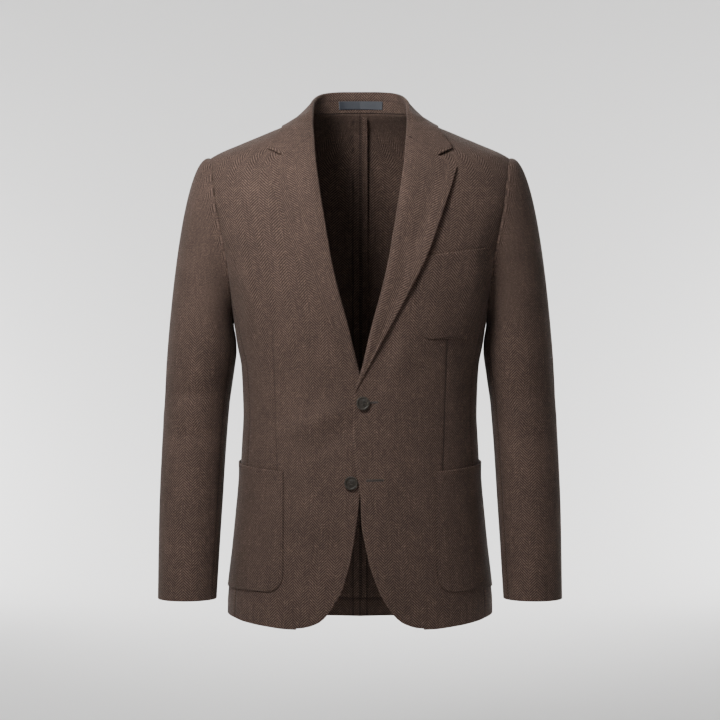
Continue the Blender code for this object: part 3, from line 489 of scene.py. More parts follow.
def panel_offsets(grid, edges):
    """Dip, half wall, inner extra and marks of a panel.

    `edges` names what each edge is: first column, last column, first row, last row, each
    seam, free, hem or none.
    """
    dip, extra, outside, inside = np.zeros((4, *grid.shape[:2]))
    full, free = np.ones((2, *grid.shape[:2]))
    quiet = 1 - 0.8 * ease(*SHOULDER_QUIET, grid[..., 2])
    for way, kind in zip(edge_ways(grid), edges):
        if kind == "seam":
            dip = dip - SEAM_DIP * bell(way, SEAM_BREADTH) * quiet
            extra = np.maximum(extra, TURN_WALL * (1 - ease(*ALLOWANCE_END, way)))
            # painted shade along the seam's valley outside, and inside along the seam and under the
            # allowance's free edge
            outside = np.maximum(outside, bell(way, SEAM_LINE) * quiet)
            inside = np.maximum(inside, bell(way, SEAM_LINE))
            inside = np.maximum(inside, bell(way - ALLOWANCE - TURN_WALL, SEAM_LINE))
        if kind in ("free", "hem"):
            full = np.minimum(full, rounded(way, CLOTH / 2))
            free = np.minimum(free, way)
        if kind == "hem":
            # painted shadow just above the top of the hem's turn-up, inside
            turned = 1 - ease(HEM_TURN, HEM_TURN + TURN_WALL, way)
            extra = np.maximum(extra, TURN_WALL * turned)
            inside = np.maximum(inside, bell(way - HEM_TURN - TURN_EDGE, SEAM_LINE))
    return dip, full, extra * full, (free, outside, inside)


def side_name(part, side):
    return f"{part}_left" if side > 0 else f"{part}_right"


# ---------------------------------------------------------------- body panels
GRAIN_LEVEL = -0.3000     # the weave's stripes are laid out round the torso at this height


def grain_along(angles):
    """Way round the torso at the grain level, from the middle of the front."""
    dense = np.linspace(0, math.pi, 721)
    points = bare_torso(dense, np.full_like(dense, GRAIN_LEVEL))
    way = np.concatenate([[0], np.cumsum(np.linalg.norm(np.diff(points, axis=0), axis=1))])
    return np.interp(np.abs(angles), dense, way) * np.sign(angles)


def panel_rows(direction, step):
    """Row heights and outer angles of a front (+1) or back (-1) panel, bottom to top."""
    span = JOIN_HEIGHT - HEM_BASE
    low = HEM_BASE + span * spaced(span, step, True, False, TURN_LINES)
    turns = np.arange(JOIN_STEP * 5 - 1, -1, -1) / 5
    hole_angle, hole_height = armhole(turns * direction)
    hole_angle = np.where(turns == 0, math.pi / 2, hole_angle)
    top = float(hole_height[-1])
    count = int((SHOULDER_TOP - top) / step * 1.6)
    high = np.linspace(top, SHOULDER_TOP, count + 1)[1:]
    heights = np.concatenate([low, hole_height, high])
    outer = np.concatenate([side_seam(direction, low), hole_angle, np.full(count, math.pi / 2)])
    return heights, outer


def fold_share(side, height):
    """How far the lapel's fold has opened at this height, from its foot up."""
    return ease(*LAPEL_FOOT[side], height)


def front_edge_angle(side, row):
    """Angle of the front's free edge on this row, and of the roll above it."""
    height = np.array(row, float)
    column = 1 if side > 0 else 2
    low, high = LAPEL_FOOT[side]
    for _ in range(5):
        below = smooth(FRONT_EDGE, column, height)
        above = smooth(ROLL, 1, height) + ROLL_SETBACK * fold_share(side, height)
        share = ease(low - 0.010, low, height)
        inner = angle_at(below + (above - below) * share, height)
        height = hem_height(row, inner)
    return inner


DART = ((-0.3350, 0.1230), (-0.5150, 0.1170))     # the front dart: height, distance
DART_FADE = 0.030
DART_CLEAR = 0.02         # least angle between the dart and the edges of its front
# how strongly the dart's line of painted shade shows on each front
DART_SHOWS = {1: 1.0, -1: 0.4}
FRONT_WIDTH = 0.20        # these widths and lengths set how many grid lines a piece gets
BACK_WIDTH = 0.19
SIDE_WIDTH = 0.13
SIDE_LENGTH = 0.45


def panel(name, surface, angles, heights, edges, flip, mirror=(1, 1, 1), dart=(0, 0)):
    """One body panel on its surface; `dart` is a dart's valley and its line of painted shade."""
    base = surface(angles, heights)
    dip, full, extra, (free, outside, inside) = panel_offsets(base, edges)
    valley, dart_shade = dart
    dip = dip - valley
    outer = surface(angles, heights, -CLOTH / 2 + dip + CLOTH / 2 * full)
    inner = surface(angles, heights, -CLOTH / 2 + dip * INNER_DIP - CLOTH / 2 * full - extra)
    marks = (free, np.maximum(outside, dart_shade), np.maximum(inside, dart_shade))
    uv = np.stack([grain_along(angles), heights], -1)
    piece = shell(name + "_cloth", outer * mirror, inner * mirror, uv, marks, flip)
    sew(piece, name)


def front_panel(side, step):
    """One front: a free edge, a roll under the lapel, a dart and a hem."""
    rows, outer = panel_rows(1, step)
    inner = front_edge_angle(side, rows)
    (top, top_x), (foot, foot_x) = DART
    dart_x = np.interp(-rows, (-top, -foot), (top_x, foot_x))
    dart = np.clip(angle_at(dart_x, rows), inner + DART_CLEAR, outer - DART_CLEAR)
    first = spaced(FRONT_WIDTH * 0.55, step)
    second = spaced(FRONT_WIDTH * 0.45, step)
    angles = np.concatenate([inner[:, None] + (dart - inner)[:, None] * first,
                             dart[:, None] + (outer - dart)[:, None] * second[1:]], 1)
    heights = hem_height(rows[:, None], angles)
    away = np.abs(bare_torso(angles, heights)[..., 0] - dart_x[:, None])
    within = ease(foot - DART_FADE, foot, heights) * (1 - ease(top, top + DART_FADE, heights))
    valley = SEAM_DIP * bell(away, SEAM_BREADTH) * within
    # painted shade along the dart's valley
    dart_shade = bell(away, SEAM_LINE) * within * DART_SHOWS[side]
    panel(side_name("front", side), partial(front_cloth, side), angles, heights,
          ("free", "seam", "hem", "none"), side < 0, dart=(valley, dart_shade))


def neck_height(angle):
    return NECK_POINT * (1 - np.abs(np.cos(angle)) ** NECK_CURVE)


def back_panel(side, step):
    """One back, from the side seam to the centre seam."""
    rows, outer = panel_rows(-1, step)
    share = spaced(BACK_WIDTH, step)
    angles = outer[:, None] + (math.pi - outer)[:, None] * share
    heights = hem_height(rows[:, None], angles)
    last = math.pi / 2 + math.pi / 2 * share
    climb = np.linspace(0, 1, 5)[1:, None]
    angles = np.concatenate([angles, np.repeat(last[None], 4, 0)])
    heights = np.concatenate([heights, rows[-1] + (neck_height(last) - rows[-1]) * climb])
    panel(side_name("back", side), torso, angles, heights, ("seam", "seam", "hem", "none"),
          side < 0, (side, 1, 1))


def centre_strip(step):
    """The strip of seam allowances down the middle of the back, inside."""
    low, high = STRIP[0][0], STRIP[-1][0]
    heights = (low + (high - low) * spaced(high - low, step))[:, None]
    share = np.linspace(0, 1, 8)
    reach, off = smooth(STRIP, 1, heights), smooth(STRIP, 2, heights)
    x = STRIP_ROOT + (reach - STRIP_ROOT) * share
    rise = CLOTH + TURN_WALL + STRIP_HALF + 0.0002 + off * share ** 1.5
    base = torso(math.pi - angle_at(x, heights), heights + 0 * x, -rise)
    across, beyond, along, _ = edge_ways(base)
    # painted shade along the strip's row of stitches
    piece = sheet_from_middle("back_seam_strip", base, STRIP_HALF, beyond,
                              bell(across - 0.0010, SEAM_LINE),
                              np.stack([across + 0.5, along], -1), False)
    sew(piece, None)


def side_panel(side, step):
    """The narrow panel under the arm, up to the armhole."""
    across = spaced(SIDE_WIDTH, step)
    top_angle, top = armhole(JOIN_STEP + (ARMHOLE_STEPS - 2 * JOIN_STEP) * across)
    upward = spaced(SIDE_LENGTH, step, True, True, TURN_LINES)
    rows = HEM_BASE + (top - HEM_BASE)[None] * upward[:, None]

    def straight(height):
        return side_seam(1, height) + (side_seam(-1, height) - side_seam(1, height)) * across

    t = np.clip((rows - UNDERARM_TURN) / (top - UNDERARM_TURN), 0, 1)
    angles = straight(rows) + (top_angle - straight(top))[None] * t * t * (3 - 2 * t)
    panel(side_name("side", side), torso, angles, hem_height(rows, angles),
          ("seam", "seam", "hem", "seam"), side < 0, (side, 1, 1))


# ---------------------------------------------------------------- sleeves
CAP_RIDGE = 0.0008        # the cap's edge rides over the seam by this much
RIDGE_AT = 0.0042
RIDGE_BREADTH = 0.0034
ARM_ROUND = 0.35
CAP_LENGTH = 0.17


def sleeve_ring(height, turn):
    middle_x, half_x, middle_y, half_y = (smooth(SLEEVE, k, height) for k in (1, 2, 3, 4))
    return np.stack([middle_x + half_x * np.cos(turn), middle_y - half_y * np.sin(turn),
                     height + np.zeros_like(turn)], -1)


def sleeve_crease(height, turn):
    lift = np.zeros(np.broadcast(height, turn).shape)
    for level, degrees, rise, half, amount in SLEEVE_CREASES:
        away = (np.degrees(turn) - degrees + 180) % 360 - 180
        lift = lift + amount * bell(height - level, rise) * bell(away, half)
    return lift


def sleeve_grid(steps, cap, rows):
    """Rings from the armhole down to the cuff, for these armhole steps."""
    turn = 2 * math.pi * steps / ARMHOLE_STEPS
    angle, height = armhole(np.mod(steps, ARMHOLE_STEPS))
    top = (1 + np.cos(turn)) / 2
    start = torso(angle, height, CAP_PROUD)
    across = between(CAP_LEAVE_X, top ** CAP_LEAVE_TURN)
    leave = unit(np.stack([across, 0 * top, between(CAP_LEAVE_Z, top ** CAP_LIFT_TURN)], -1))
    reach, depth = CAP_TUCK
    tucked = start - reach * leave - depth * torso_normal(angle, height)
    ring = sleeve_ring(np.array(CAP_FOOT), turn)
    step = 0.01
    fall = (sleeve_ring(np.array(CAP_FOOT - step), turn) - ring) / step
    first = start + between(CAP_REACH, top)[:, None] * leave
    second = ring - between(CAP_LEAD, top)[:, None] * fall
    t = cap[:, None, None]
    upper = start * (1 - t) ** 3 + 3 * first * t * (1 - t) ** 2
    upper = upper + 3 * second * t * t * (1 - t) + ring * t ** 3
    level = sleeve_ring(rows[:, None], turn[None])
    outward = np.stack([np.cos(turn), -np.sin(turn), 0 * turn], -1)
    lower = level + sleeve_crease(rows[:, None], turn[None])[..., None] * outward
    return np.concatenate([tucked[None], upper, lower])


def sleeve(side, part, step):
    """The top sleeve or the under sleeve of one arm."""
    low, high = UNDER_STEPS
    first, last = (low, high) if part == "under" else (high, low + ARMHOLE_STEPS)
    steps = first + (last - first) * spaced(ARM_ROUND * (last - first) / ARMHOLE_STEPS, step)
    cap = spaced(CAP_LENGTH, step, True, False)[:-1]
    down = CAP_FOOT - CUFF
    turn_lines = [down - line for line in TURN_LINES]
    rows = CAP_FOOT - down * spaced(down, step, False, True, turn_lines)
    base = sleeve_grid(steps, cap, rows)
    dip, full, extra, marks = panel_offsets(base, ("seam", "seam", "seam", "hem"))
    across, _, from_tuck, from_cuff = edge_ways(base)
    from_cap = from_tuck - math.hypot(*CAP_TUCK)
    quiet = 1 - ease(*SHOULDER_QUIET, base[0, :, 2])
    middle = -CLOTH / 2 + CAP_RIDGE * bell(from_cap - RIDGE_AT, RIDGE_BREADTH) * quiet
    lift = (middle + dip + CLOTH / 2 * full)[..., None]
    drop = (middle + dip * INNER_DIP - CLOTH / 2 * full - extra)[..., None]
    column = base.shape[1] // 2
    uv = np.stack([across - across[:, column:column + 1], from_cuff], -1)
    name = side_name(part + "_sleeve", side)
    normal, mirror = grid_normal(base), (side, 1, 1)
    piece = shell(name + "_cloth", (base + lift * normal) * mirror,
                  (base + drop * normal) * mirror, uv, marks, side < 0)
    sew(piece, name)


# ---------------------------------------------------------------- lapels and collar
def over_chest_pocket(side, x, height):
    """The left lapel rides over the inner corner of the chest pocket."""
    low, high, inner = POCKET_RAMP
    above = ease(*low, height - CHEST_MOUTH[0])
    below = 1 - ease(*high, height - CHEST_MOUTH[0])
    return (side > 0) * (POCKET + LAID_GAP) * above * below * ease(*inner, x - CHEST_INNER)


FOLD_TURNS = np.radians(np.linspace(-90, 90, 15))


def folded(centre, up, out, radius):
    """Cloth turned round a line: rows of points from inside to outside."""
    s, c = np.sin(FOLD_TURNS)[None, :, None], np.cos(FOLD_TURNS)[None, :, None]
    return centre[:, None] + radius[:, None, None] * (out[:, None] * s + up[:, None] * c)


def sheet_from_middle(name, middle, half, free, line, uv, flip):
    """A sheet thickened about its middle, rounded where `free`, the way to an edge, is small."""
    offset = (half * rounded(free, FACING / 2))[..., None] * grid_normal(middle)
    return shell(name, middle + offset, middle - offset, uv, (free, line, line), flip)


def lapel(side, step):
    """One lapel: rows go from the roll out to the free edge, foot to gorge."""
    share = spaced(0.35, step)
    low = LAPEL_FOOT[side][0]
    roll_height = low + (GORGE_ROLL - low) * share
    open_share = LAPEL_FOLD_LEAST + (1 - LAPEL_FOLD_LEAST) * fold_share(side, roll_height)
    edge_height = smooth(LAPEL_EDGE[side], 1, share)
    roll_x = smooth(ROLL, 1, roll_height) + ROLL_SETBACK * open_share
    edge_x = np.maximum(smooth(LAPEL_EDGE[side], 2, share), roll_x + LAPEL_LEAST)

    def point(x, height, out):
        return front_cloth(side, angle_at(x, height), height, out)

    radius = FOLD_RADIUS * open_share
    centre = point(roll_x, roll_height, LAID_GAP * open_share + FACING / 2 - radius)
    surface = point(roll_x, roll_height, 0.01)
    inland = point(roll_x + ROLL_SETBACK, roll_height, 0.0)
    out = unit(surface - centre)
    up = surface - inland
    up = unit(up - out * np.sum(up * out, -1, keepdims=True))
    v = spaced(0.085, step * 0.8, False, True)[1:]
    x = roll_x[:, None] + (edge_x - roll_x)[:, None] * v
    height = roll_height[:, None] + (edge_height - roll_height)[:, None] * v
    belly = LAPEL_BELLY[side] * v / LAPEL_BELLY_AT * np.exp(1 - v / LAPEL_BELLY_AT)
    spring = LAPEL_SPRING[side] * ease(0.60, 1.0, v)
    bloom = (belly + spring) * np.minimum(1, (edge_x - roll_x)[:, None] / LAPEL_FULL)
    flush = ease(*LAPEL_SHARES, share)[:, None]
    level = (LEAF_GAP - LAID_GAP) * ease(0.0, 0.10, v)
    bloom = bloom + (level - bloom) * flush
    lift = (LAID_GAP * open_share + FACING / 2)[:, None]
    leaf = point(x, height, lift + bloom + over_chest_pocket(side, x, height))
    middle = np.concatenate([folded(centre, up, out, radius), leaf], 1)
    across, along = runs(middle)
    uv = np.stack([across - 0.30 * side, along], -1)
    ways = edge_ways(middle)
    beyond = x[-1] > GORGE_CORNER
    gorge = np.concatenate([np.zeros(len(FOLD_TURNS), bool), beyond])
    free = np.minimum(ways[1], np.where(gorge, ways[3], 1.0))
    # painted shade along the gorge seam, short of the gorge corner
    line = bell(ways[3], SEAM_LINE) * ~gorge * 0.5
    half = FACING / 2 * (0.25 + 0.75 * fold_share(side, roll_height))[:, None]
    name = side_name("lapel", side)
    piece = sheet_from_middle(name + "_cloth", middle, half, free, line, uv, side < 0)
    sew(piece, name)


def above_torso(point, clear, hug):
    """Push a point off the torso form until it is clear of it, or draw it near by `hug`."""
    x, y, height = point
    half = float(smooth(TORSO, 1, height))
    depth = float(smooth(TORSO, 2 if y < 0 else 3, height))
    angle = math.atan2(x / half, -y / depth)
    surface, normal = bare_torso(angle, height), torso_normal(angle, height)
    distance = float((point - surface) @ normal)
    return point + (clear - distance) * (1 if distance < clear else hug) * normal


def collar_tables():
    """Fold middle, leaf edge, seam and outward direction along one half of the collar."""
    rows = []
    for (share, cx, cy, cz, ex, ey, ez), degrees in zip(COLLAR, COLLAR_SEAM):
        angle = math.radians(degrees)
        seam = torso(angle, neck_height(angle), 0.0)
        out = np.array((math.sin(angle), -math.cos(angle), 0.0))
        seam = seam - out * (CLOTH / 2) + np.array((0, 0, STAND_LIFT))
        rows.append((share, cx, cy, cz, ex, ey, ez, *seam, *out))
    for share, height, edge_x, edge_height in COLLAR_FRONT:
        x = float(smooth(ROLL, 1, height)) + ROLL_SETBACK
        angle = float(angle_at(x, height))
        out = torso_normal(angle, height)
        centre = torso(angle, height, -CLOTH / 2)
        beyond = torso(float(angle_at(x + STAND_TUCK, height)), height, -CLOTH / 2)
        seam = beyond - FOLD_RADIUS * out
        edge = torso(float(angle_at(edge_x, edge_height)), edge_height, LEAF_GAP + FACING / 2)
        rows.append((share, *centre, *edge, *seam, *out))
    return rows


COLLAR_TABLE = collar_tables()
STAND_SHARES = spaced(0.030, 0.0020, True, False)[:-1]
LEAF_SHARES = spaced(0.055, 0.003, False, True)[1:]
STAND_STITCH = 0.68       # share of the stand's height where a line of stitches runs
LEAF_NEAR = (0.0006, LEAF_GAP)
LEAF_NEAR_SHARES = (0.60, 0.85)


def collar_frame(share):
    """Fold middle, leaf edge, seam, outward and upward directions at one share."""
    def read(first, at=share):
        return np.array([float(smooth(COLLAR_TABLE, first + k, at)) for k in range(3)])
    centre, edge, seam, out = read(1), read(4), read(7), unit(read(10))
    step = 0.01
    along = np.array((1.0, 0.0, 0.0))
    if share > step:
        along = unit(read(1, min(share + step, 1)) - read(1, share - step))
    return centre, edge, seam, out, unit(np.cross(along, out))


def collar_section(share):
    """The collar's cut at one place: stand, fold and leaf."""
    centre, edge, seam, out, up = collar_frame(share)
    top = centre - FOLD_RADIUS * out
    stand = [seam + (top - seam) * v for v in STAND_SHARES]
    turn = [centre + FOLD_RADIUS * (out * math.sin(a) + up * math.cos(a)) for a in FOLD_TURNS]
    start = centre + FOLD_RADIUS * out
    corner_bend = float(ease(GORGE_FROM, 1.0, share))
    dip = LEAF_HOLLOW * float(ease(0.15, 0.5, share) * (1 - ease(0.7, 0.95, share)))
    corner_height = GORGE_ROLL + GORGE_SLOPE * (GORGE_CORNER - start[0])
    corner = np.array((GORGE_CORNER, 0, corner_height))
    leaf = []
    for v in LEAF_SHARES:
        point = start + (edge - start) * v
        if v < GORGE_SHARE:
            bent = start + (corner - start) * (v / GORGE_SHARE)
        else:
            bent = corner + (edge - corner) * ((v - GORGE_SHARE) / (1 - GORGE_SHARE))
        bent[1] = point[1]
        point = point + (bent - point) * corner_bend
        point = point - out * dip * 4 * v * (1 - v)
        if corner_bend > 0:
            angle = float(angle_at(point[0], point[2]))
            laid = torso(angle, point[2], LEAF_GAP + FACING / 2)
            point = point + (laid - point) * min(1, corner_bend * 3) * float(ease(0, 0.10, v))
        near = between(LEAF_NEAR, float(ease(*LEAF_NEAR_SHARES, share)))
        hug = float(ease(0.55, 1.0, v)) * (1 - corner_bend)
        leaf.append(above_torso(point, near + FACING / 2, hug))
    return stand + turn + leaf


def collar(step):
    """Stand and leaf in one folded strip, from notch to notch round the neck."""
    shares = spaced(0.24, step, False, True)
    half = [np.array(collar_section(float(share))) for share in shares]
    middle = np.array([row * (-1, 1, 1) for row in half[:0:-1]] + half)
    across, along = runs(middle)
    uv = np.stack([along - along[len(half) - 1], across], -1)
    ways = edge_ways(middle)
    leaf_at = np.concatenate([np.full(len(STAND_SHARES) + len(FOLD_TURNS), 0.0), LEAF_SHARES])
    notch = leaf_at > GORGE_SHARE
    ends = np.minimum(ways[2], ways[3])
    free = np.minimum(ways[1], np.where(notch, ends, 1.0))
    stand = np.concatenate([STAND_SHARES, np.full(len(FOLD_TURNS) + len(LEAF_SHARES), 2.0)])
    # painted shade along the stand's stitches, the neck seam and the collar's seamed ends
    line = 0.7 * bell(stand - STAND_STITCH, 0.03) + bell(ways[0], SEAM_LINE)
    line = np.minimum(1, line + bell(ends, SEAM_LINE) * ~notch * 0.5)
    piece = sheet_from_middle("collar_cloth", middle, FACING / 2, free, line, uv, True)
    sew(piece, "collar")


LABEL_REACH = (-0.188, 0.202)
LABEL_SHARE = (0.185, 0.615)
LABEL_WALL = 0.0006


def label(step):
    """A bare woven label on the inside of the stand."""
    outer, inner = [], []
    for share in np.linspace(*LABEL_REACH, 41):
        centre, _, seam, out, _ = collar_frame(abs(float(share)))
        mirror = np.array((-1 if share < 0 else 1, 1, 1))
        top = centre - FOLD_RADIUS * out
        line = np.linspace(*LABEL_SHARE, 9)
        place = np.array([(seam + (top - seam) * f) * mirror for f in line])
        near = place - (FACING / 2 + FOLD_GAP / 2) * out * mirror
        inner.append(near)
        outer.append(near - LABEL_WALL * out * mirror)
    outer, inner = np.array(outer), np.array(inner)
    across, along = runs(outer)
    uv = np.stack([along - along[-1:] / 2, across], -1)
    none = across * 0
    piece = shell("neck_label_cloth", outer, inner, uv, (none + 1, none, none),
                  finish=label_finish)
    sew(piece, "neck_label")


# ---------------------------------------------------------------- pockets
def walk(start_x, height, distances):
    """Angles of the points this far along the level section from start_x."""
    angles = np.linspace(float(angle_at(start_x, height)) - 0.3, math.pi * 0.75, 1200)
    points = bare_torso(angles, np.full_like(angles, height))
    length = np.concatenate([[0], np.cumsum(np.linalg.norm(np.diff(points, axis=0), axis=1))])
    origin = np.interp(float(angle_at(start_x, height)), angles, length)
    return np.interp(origin + distances, length, angles)


POCKET_SIT = 0.0004       # between a pocket and its front, away from the stitches
MOUTH_GAPE = 0.0014       # the pocket's mouth stands off by this much more
STITCH_ROW = 0.0022       # how far inside a pocket's edge its stitches run


def patch(node, side, inner, width, mouth, floor, corner, step):
    """A patch pocket: square mouth, rounded lower corners, its edges sewn down flat."""
    angles, heights = [], []
    rise_all = mouth[0] - floor
    shares = spaced(rise_all, step)
    crowd = np.linspace(0, 1, 14)[1:-1] ** 2 * corner / rise_all
    shares = np.unique(np.concatenate([shares, crowd]))
    across_share = spaced(width, step)
    for share in shares:
        rise = share * rise_all
        drop = corner - rise
        cut = corner - math.sqrt(max(corner ** 2 - drop ** 2, 0)) if drop > 0 else 0.0
        across = cut + (width - 2 * cut) * across_share
        angles.append(walk(inner, floor + rise, across))
        heights.append(floor + share * (mouth[0] + (mouth[1] - mouth[0]) * across / width - floor))
    angles, heights = np.array(angles), np.array(heights)
    base = front_cloth(side, angles, heights)
    ways = edge_ways(base)
    sewn = np.minimum(np.minimum(ways[0], ways[1]), ways[2])
    free = np.minimum(sewn, ways[3])
    full = rounded(free, POCKET / 2)
    sit = POCKET_SIT * ease(0.0, 0.006, sewn)
    groove = 0.00025 * bell(sewn - STITCH_ROW, 0.0008)
    gape = MOUTH_GAPE * bell(ways[3], 0.012) * ease(0.0, 0.03, sewn)
    middle = POCKET / 2 + 0.0001 + sit - groove + gape
    outside = front_cloth(side, angles, heights, middle + POCKET / 2 * full)
    inside = front_cloth(side, angles, heights, middle - POCKET / 2 * full)
    uv = np.stack([grain_along(angles), heights], -1)
    # painted shadow at the pocket's sewn edges, and painted shade along its row of stitches
    line = np.minimum(0.9 * bell(sewn, 0.0006) + 0.35 * bell(sewn - STITCH_ROW, 0.0007), 1)
    piece = shell(node + "_cloth", outside, inside, uv, (free, line, line * 0), side < 0)
    sew(piece, node)


# ---------------------------------------------------------------- finishes
def once(kind, name):
    """Make a shared shader group or material once, and find it again after that."""
    def wrap(make):
        return lambda: getattr(bpy.data, kind).get(name) or make(name)
    return wrap


def fill(tree, made, inputs):
    """Feed a node's inputs with outputs of others, or with values of their own."""
    for name, value in dict(inputs).items():
        if isinstance(value, bpy.types.NodeSocket):
            tree.links.new(value, made.inputs[name])
        else:
            made.inputs[name].default_value = value


def node(tree, kind, inputs=(), **settings):
    made = tree.nodes.new("ShaderNode" + kind)
    for name, value in settings.items():
        setattr(made, name, value)
    fill(tree, made, inputs)
    return made


def maths(tree, operation, *values):
    return node(tree, "Math", enumerate(values), operation=operation).outputs[0]


def mixed(tree, share, first, second):
    colours = {0: share, 6: (*first, 1), 7: (*second, 1)}
    return node(tree, "Mix", colours, data_type="RGBA").outputs[2]


def noise(tree, vector, scale, detail=2.0, rough=0.5):
    inputs = {"Vector": vector, "Scale": scale, "Detail": detail, "Roughness": rough}
    return node(tree, "TexNoise", inputs).outputs[0]


def combine(tree, *values):
    return node(tree, "CombineXYZ", enumerate(values)).outputs[0]


def bump(tree, height, distance, strength=1.0, normal=None):
    inputs = {"Strength": strength, "Distance": distance, "Height": height}
    if normal is not None:
        inputs["Normal"] = normal
    return node(tree, "Bump", inputs).outputs[0]


def node_group(name, inputs, outputs):
    """A shader group on a vector, with its inputs and outputs, and its two end nodes."""
    group = bpy.data.node_groups.new(name, "ShaderNodeTree")
    group.interface.new_socket("Vector", in_out="INPUT", socket_type="NodeSocketVector")
    for title, value in inputs:
        socket = group.interface.new_socket(title, in_out="INPUT", socket_type="NodeSocketFloat")
        socket.default_value = value
    for title in outputs:
        group.interface.new_socket(title, in_out="OUTPUT", socket_type="NodeSocketFloat")
    return group, group.nodes.new("NodeGroupInput"), group.nodes.new("NodeGroupOutput")


@once("node_groups", "Herringbone")
def herringbone_group(name):
    """Two-and-two twill that turns over in narrow bands, yarn by yarn."""
    group, given, made = node_group(
        name, (("Yarn", 0.00075), ("Band", 14.0), ("Slub", 0.5)), ("Warp", "Height", "Tone"))
    m = partial(maths, group)
    split = node(group, "SeparateXYZ", {0: given.outputs["Vector"]})
    u, v = (m("DIVIDE", split.outputs[k], given.outputs["Yarn"]) for k in (0, 1))
    i, j = m("FLOOR", u), m("FLOOR", v)
    band = m("FLOOR", m("DIVIDE", i, given.outputs["Band"]))
    odd = m("FLOORED_MODULO", band, 2.0)
    sign = m("SUBTRACT", 1.0, m("MULTIPLY", odd, 2.0))
    phase = m("ADD", m("ADD", m("MULTIPLY", i, sign), j), odd)
    warp = m("LESS_THAN", m("FLOORED_MODULO", phase, 4.0), 1.5)
    weft = m("SUBTRACT", 1.0, warp)
    across, along = (m("ABSOLUTE", m("SINE", m("MULTIPLY", way, math.pi))) for way in (u, v))
    height = m("ADD", m("MULTIPLY", across, warp), m("MULTIPLY", m("MULTIPLY", along, weft), 0.8))
    warp_tone = noise(group, combine(group, i, m("MULTIPLY", v, 0.03), 0.0), 0.61)
    weft_tone = noise(group, combine(group, m("MULTIPLY", u, 0.03), j, 7.0), 0.57)
    tone = m("ADD", m("MULTIPLY", warp_tone, warp), m("MULTIPLY", weft_tone, weft))
    tone = m("MULTIPLY", m("SUBTRACT", tone, 0.5), given.outputs["Slub"])
    fill(group, made, {"Warp": warp, "Height": height, "Tone": tone})
    return group


@once("node_groups", "Slubs")
def slub_group(name):
    """Thick and thin places along the yarns, and the few pale ones that stand out."""
    group, given, made = node_group(
        name, (("Breadth", 0.0019), ("Length", 0.0100)), ("Tone", "Fleck"))
    m = partial(maths, group)
    u, v = node(group, "SeparateXYZ", {0: given.outputs["Vector"]}).outputs[:2]
    breadth, length = given.outputs["Breadth"], given.outputs["Length"]

    def yarns(wide, high, seed):
        place = combine(group, m("DIVIDE", u, wide), m("DIVIDE", v, high), seed)
        return noise(group, place, 1.0, 2.0, 0.6)

    upright, level = yarns(breadth, length, 3.0), yarns(length, breadth, 9.0)
    fleck = node(group, "MapRange", {"From Min": 0.60, "From Max": 0.72,
                                     "Value": m("MAXIMUM", upright, level)})
    tone = m("MULTIPLY", m("ADD", upright, level), 0.5)
    fill(group, made, {"Tone": tone, "Fleck": fleck.outputs[0]})
    return group


def new_material(name):
    made = bpy.data.materials.new(name)
    made.use_nodes = True
    return made, made.node_tree, made.node_tree.nodes["Principled BSDF"]


@once("materials", "herringbone linen")
def linen_finish(name):
    """Brown herringbone linen: lighter warp, darker weft, cloudy and slubby, with a painted
    highlight on free edges and painted shade along seams and stitches.
    """
    finish = bpy.context.scene.blazer_finish
    made, tree, shader = new_material(name)
    m = partial(maths, tree)
    weave = node(tree, "UVMap", uv_map="weave").outputs[0]
    twill = node(tree, "Group", node_tree=herringbone_group())
    band = float(round(finish.band / finish.yarn))
    fill(tree, twill, {"Vector": weave, "Yarn": finish.yarn, "Band": band, "Slub": 1.0})
    slub = node(tree, "Group", node_tree=slub_group())
    fill(tree, slub, {"Vector": weave})
    place = node(tree, "TexCoord").outputs["Object"]
    cloud, fine = noise(tree, place, 24.0, 3.0, 0.55), noise(tree, place, 420.0, 2.0, 0.6)
    # 'line' is painted shade along seams and stitches; 'edge' is the way to a free edge
    line, free_edge_way = (node(tree, "Attribute", attribute_name=mark).outputs["Fac"]
                  for mark in ("line", "edge"))
    # painted highlight: the cloth is up to a quarter lighter at its free edges, where rolled edges
    # catch the light
    edge_highlight = node(tree, "MapRange", {"From Min": 0.0, "From Max": 0.0025, "To Min": 1.25,
                                  "To Max": 1.0, "Value": free_edge_way})
    light = edge_highlight.outputs[0]
    for source, gain in ((cloud, 0.55), (slub.outputs["Tone"], finish.slubs), (fine, 0.50)):
        swing = m("MULTIPLY", m("SUBTRACT", source, 0.5), gain)
        light = m("MULTIPLY", light, m("ADD", swing, 1.0))
    light = m("MULTIPLY", light, m("ADD", twill.outputs["Tone"], 1.0))
    light = m("ADD", light, m("MULTIPLY", slub.outputs["Fleck"], 0.45))
    # painted shade: up to 62% darker where the 'line' mark lies
    light = m("MULTIPLY", light, m("SUBTRACT", 1.0, m("MULTIPLY", line, 0.62)))
    colour = mixed(tree, twill.outputs["Warp"], finish.weft, finish.warp)
    scaled = node(tree, "VectorMath", {0: colour, "Scale": light}, operation="SCALE")
    rough = bump(tree, twill.outputs["Height"], 0.00022, 0.8)
    rough = bump(tree, slub.outputs["Tone"], 0.0007, 0.55, rough)
    fill(tree, shader, {
        "Base Color": scaled.outputs[0], "Normal": bump(tree, fine, 0.0004, 0.35, rough),
        "Roughness": 0.86, "Specular IOR Level": 0.25, "Sheen Weight": 0.09,
        "Sheen Roughness": 0.45, "Sheen Tint": (0.62, 0.50, 0.44, 1)})
    return made


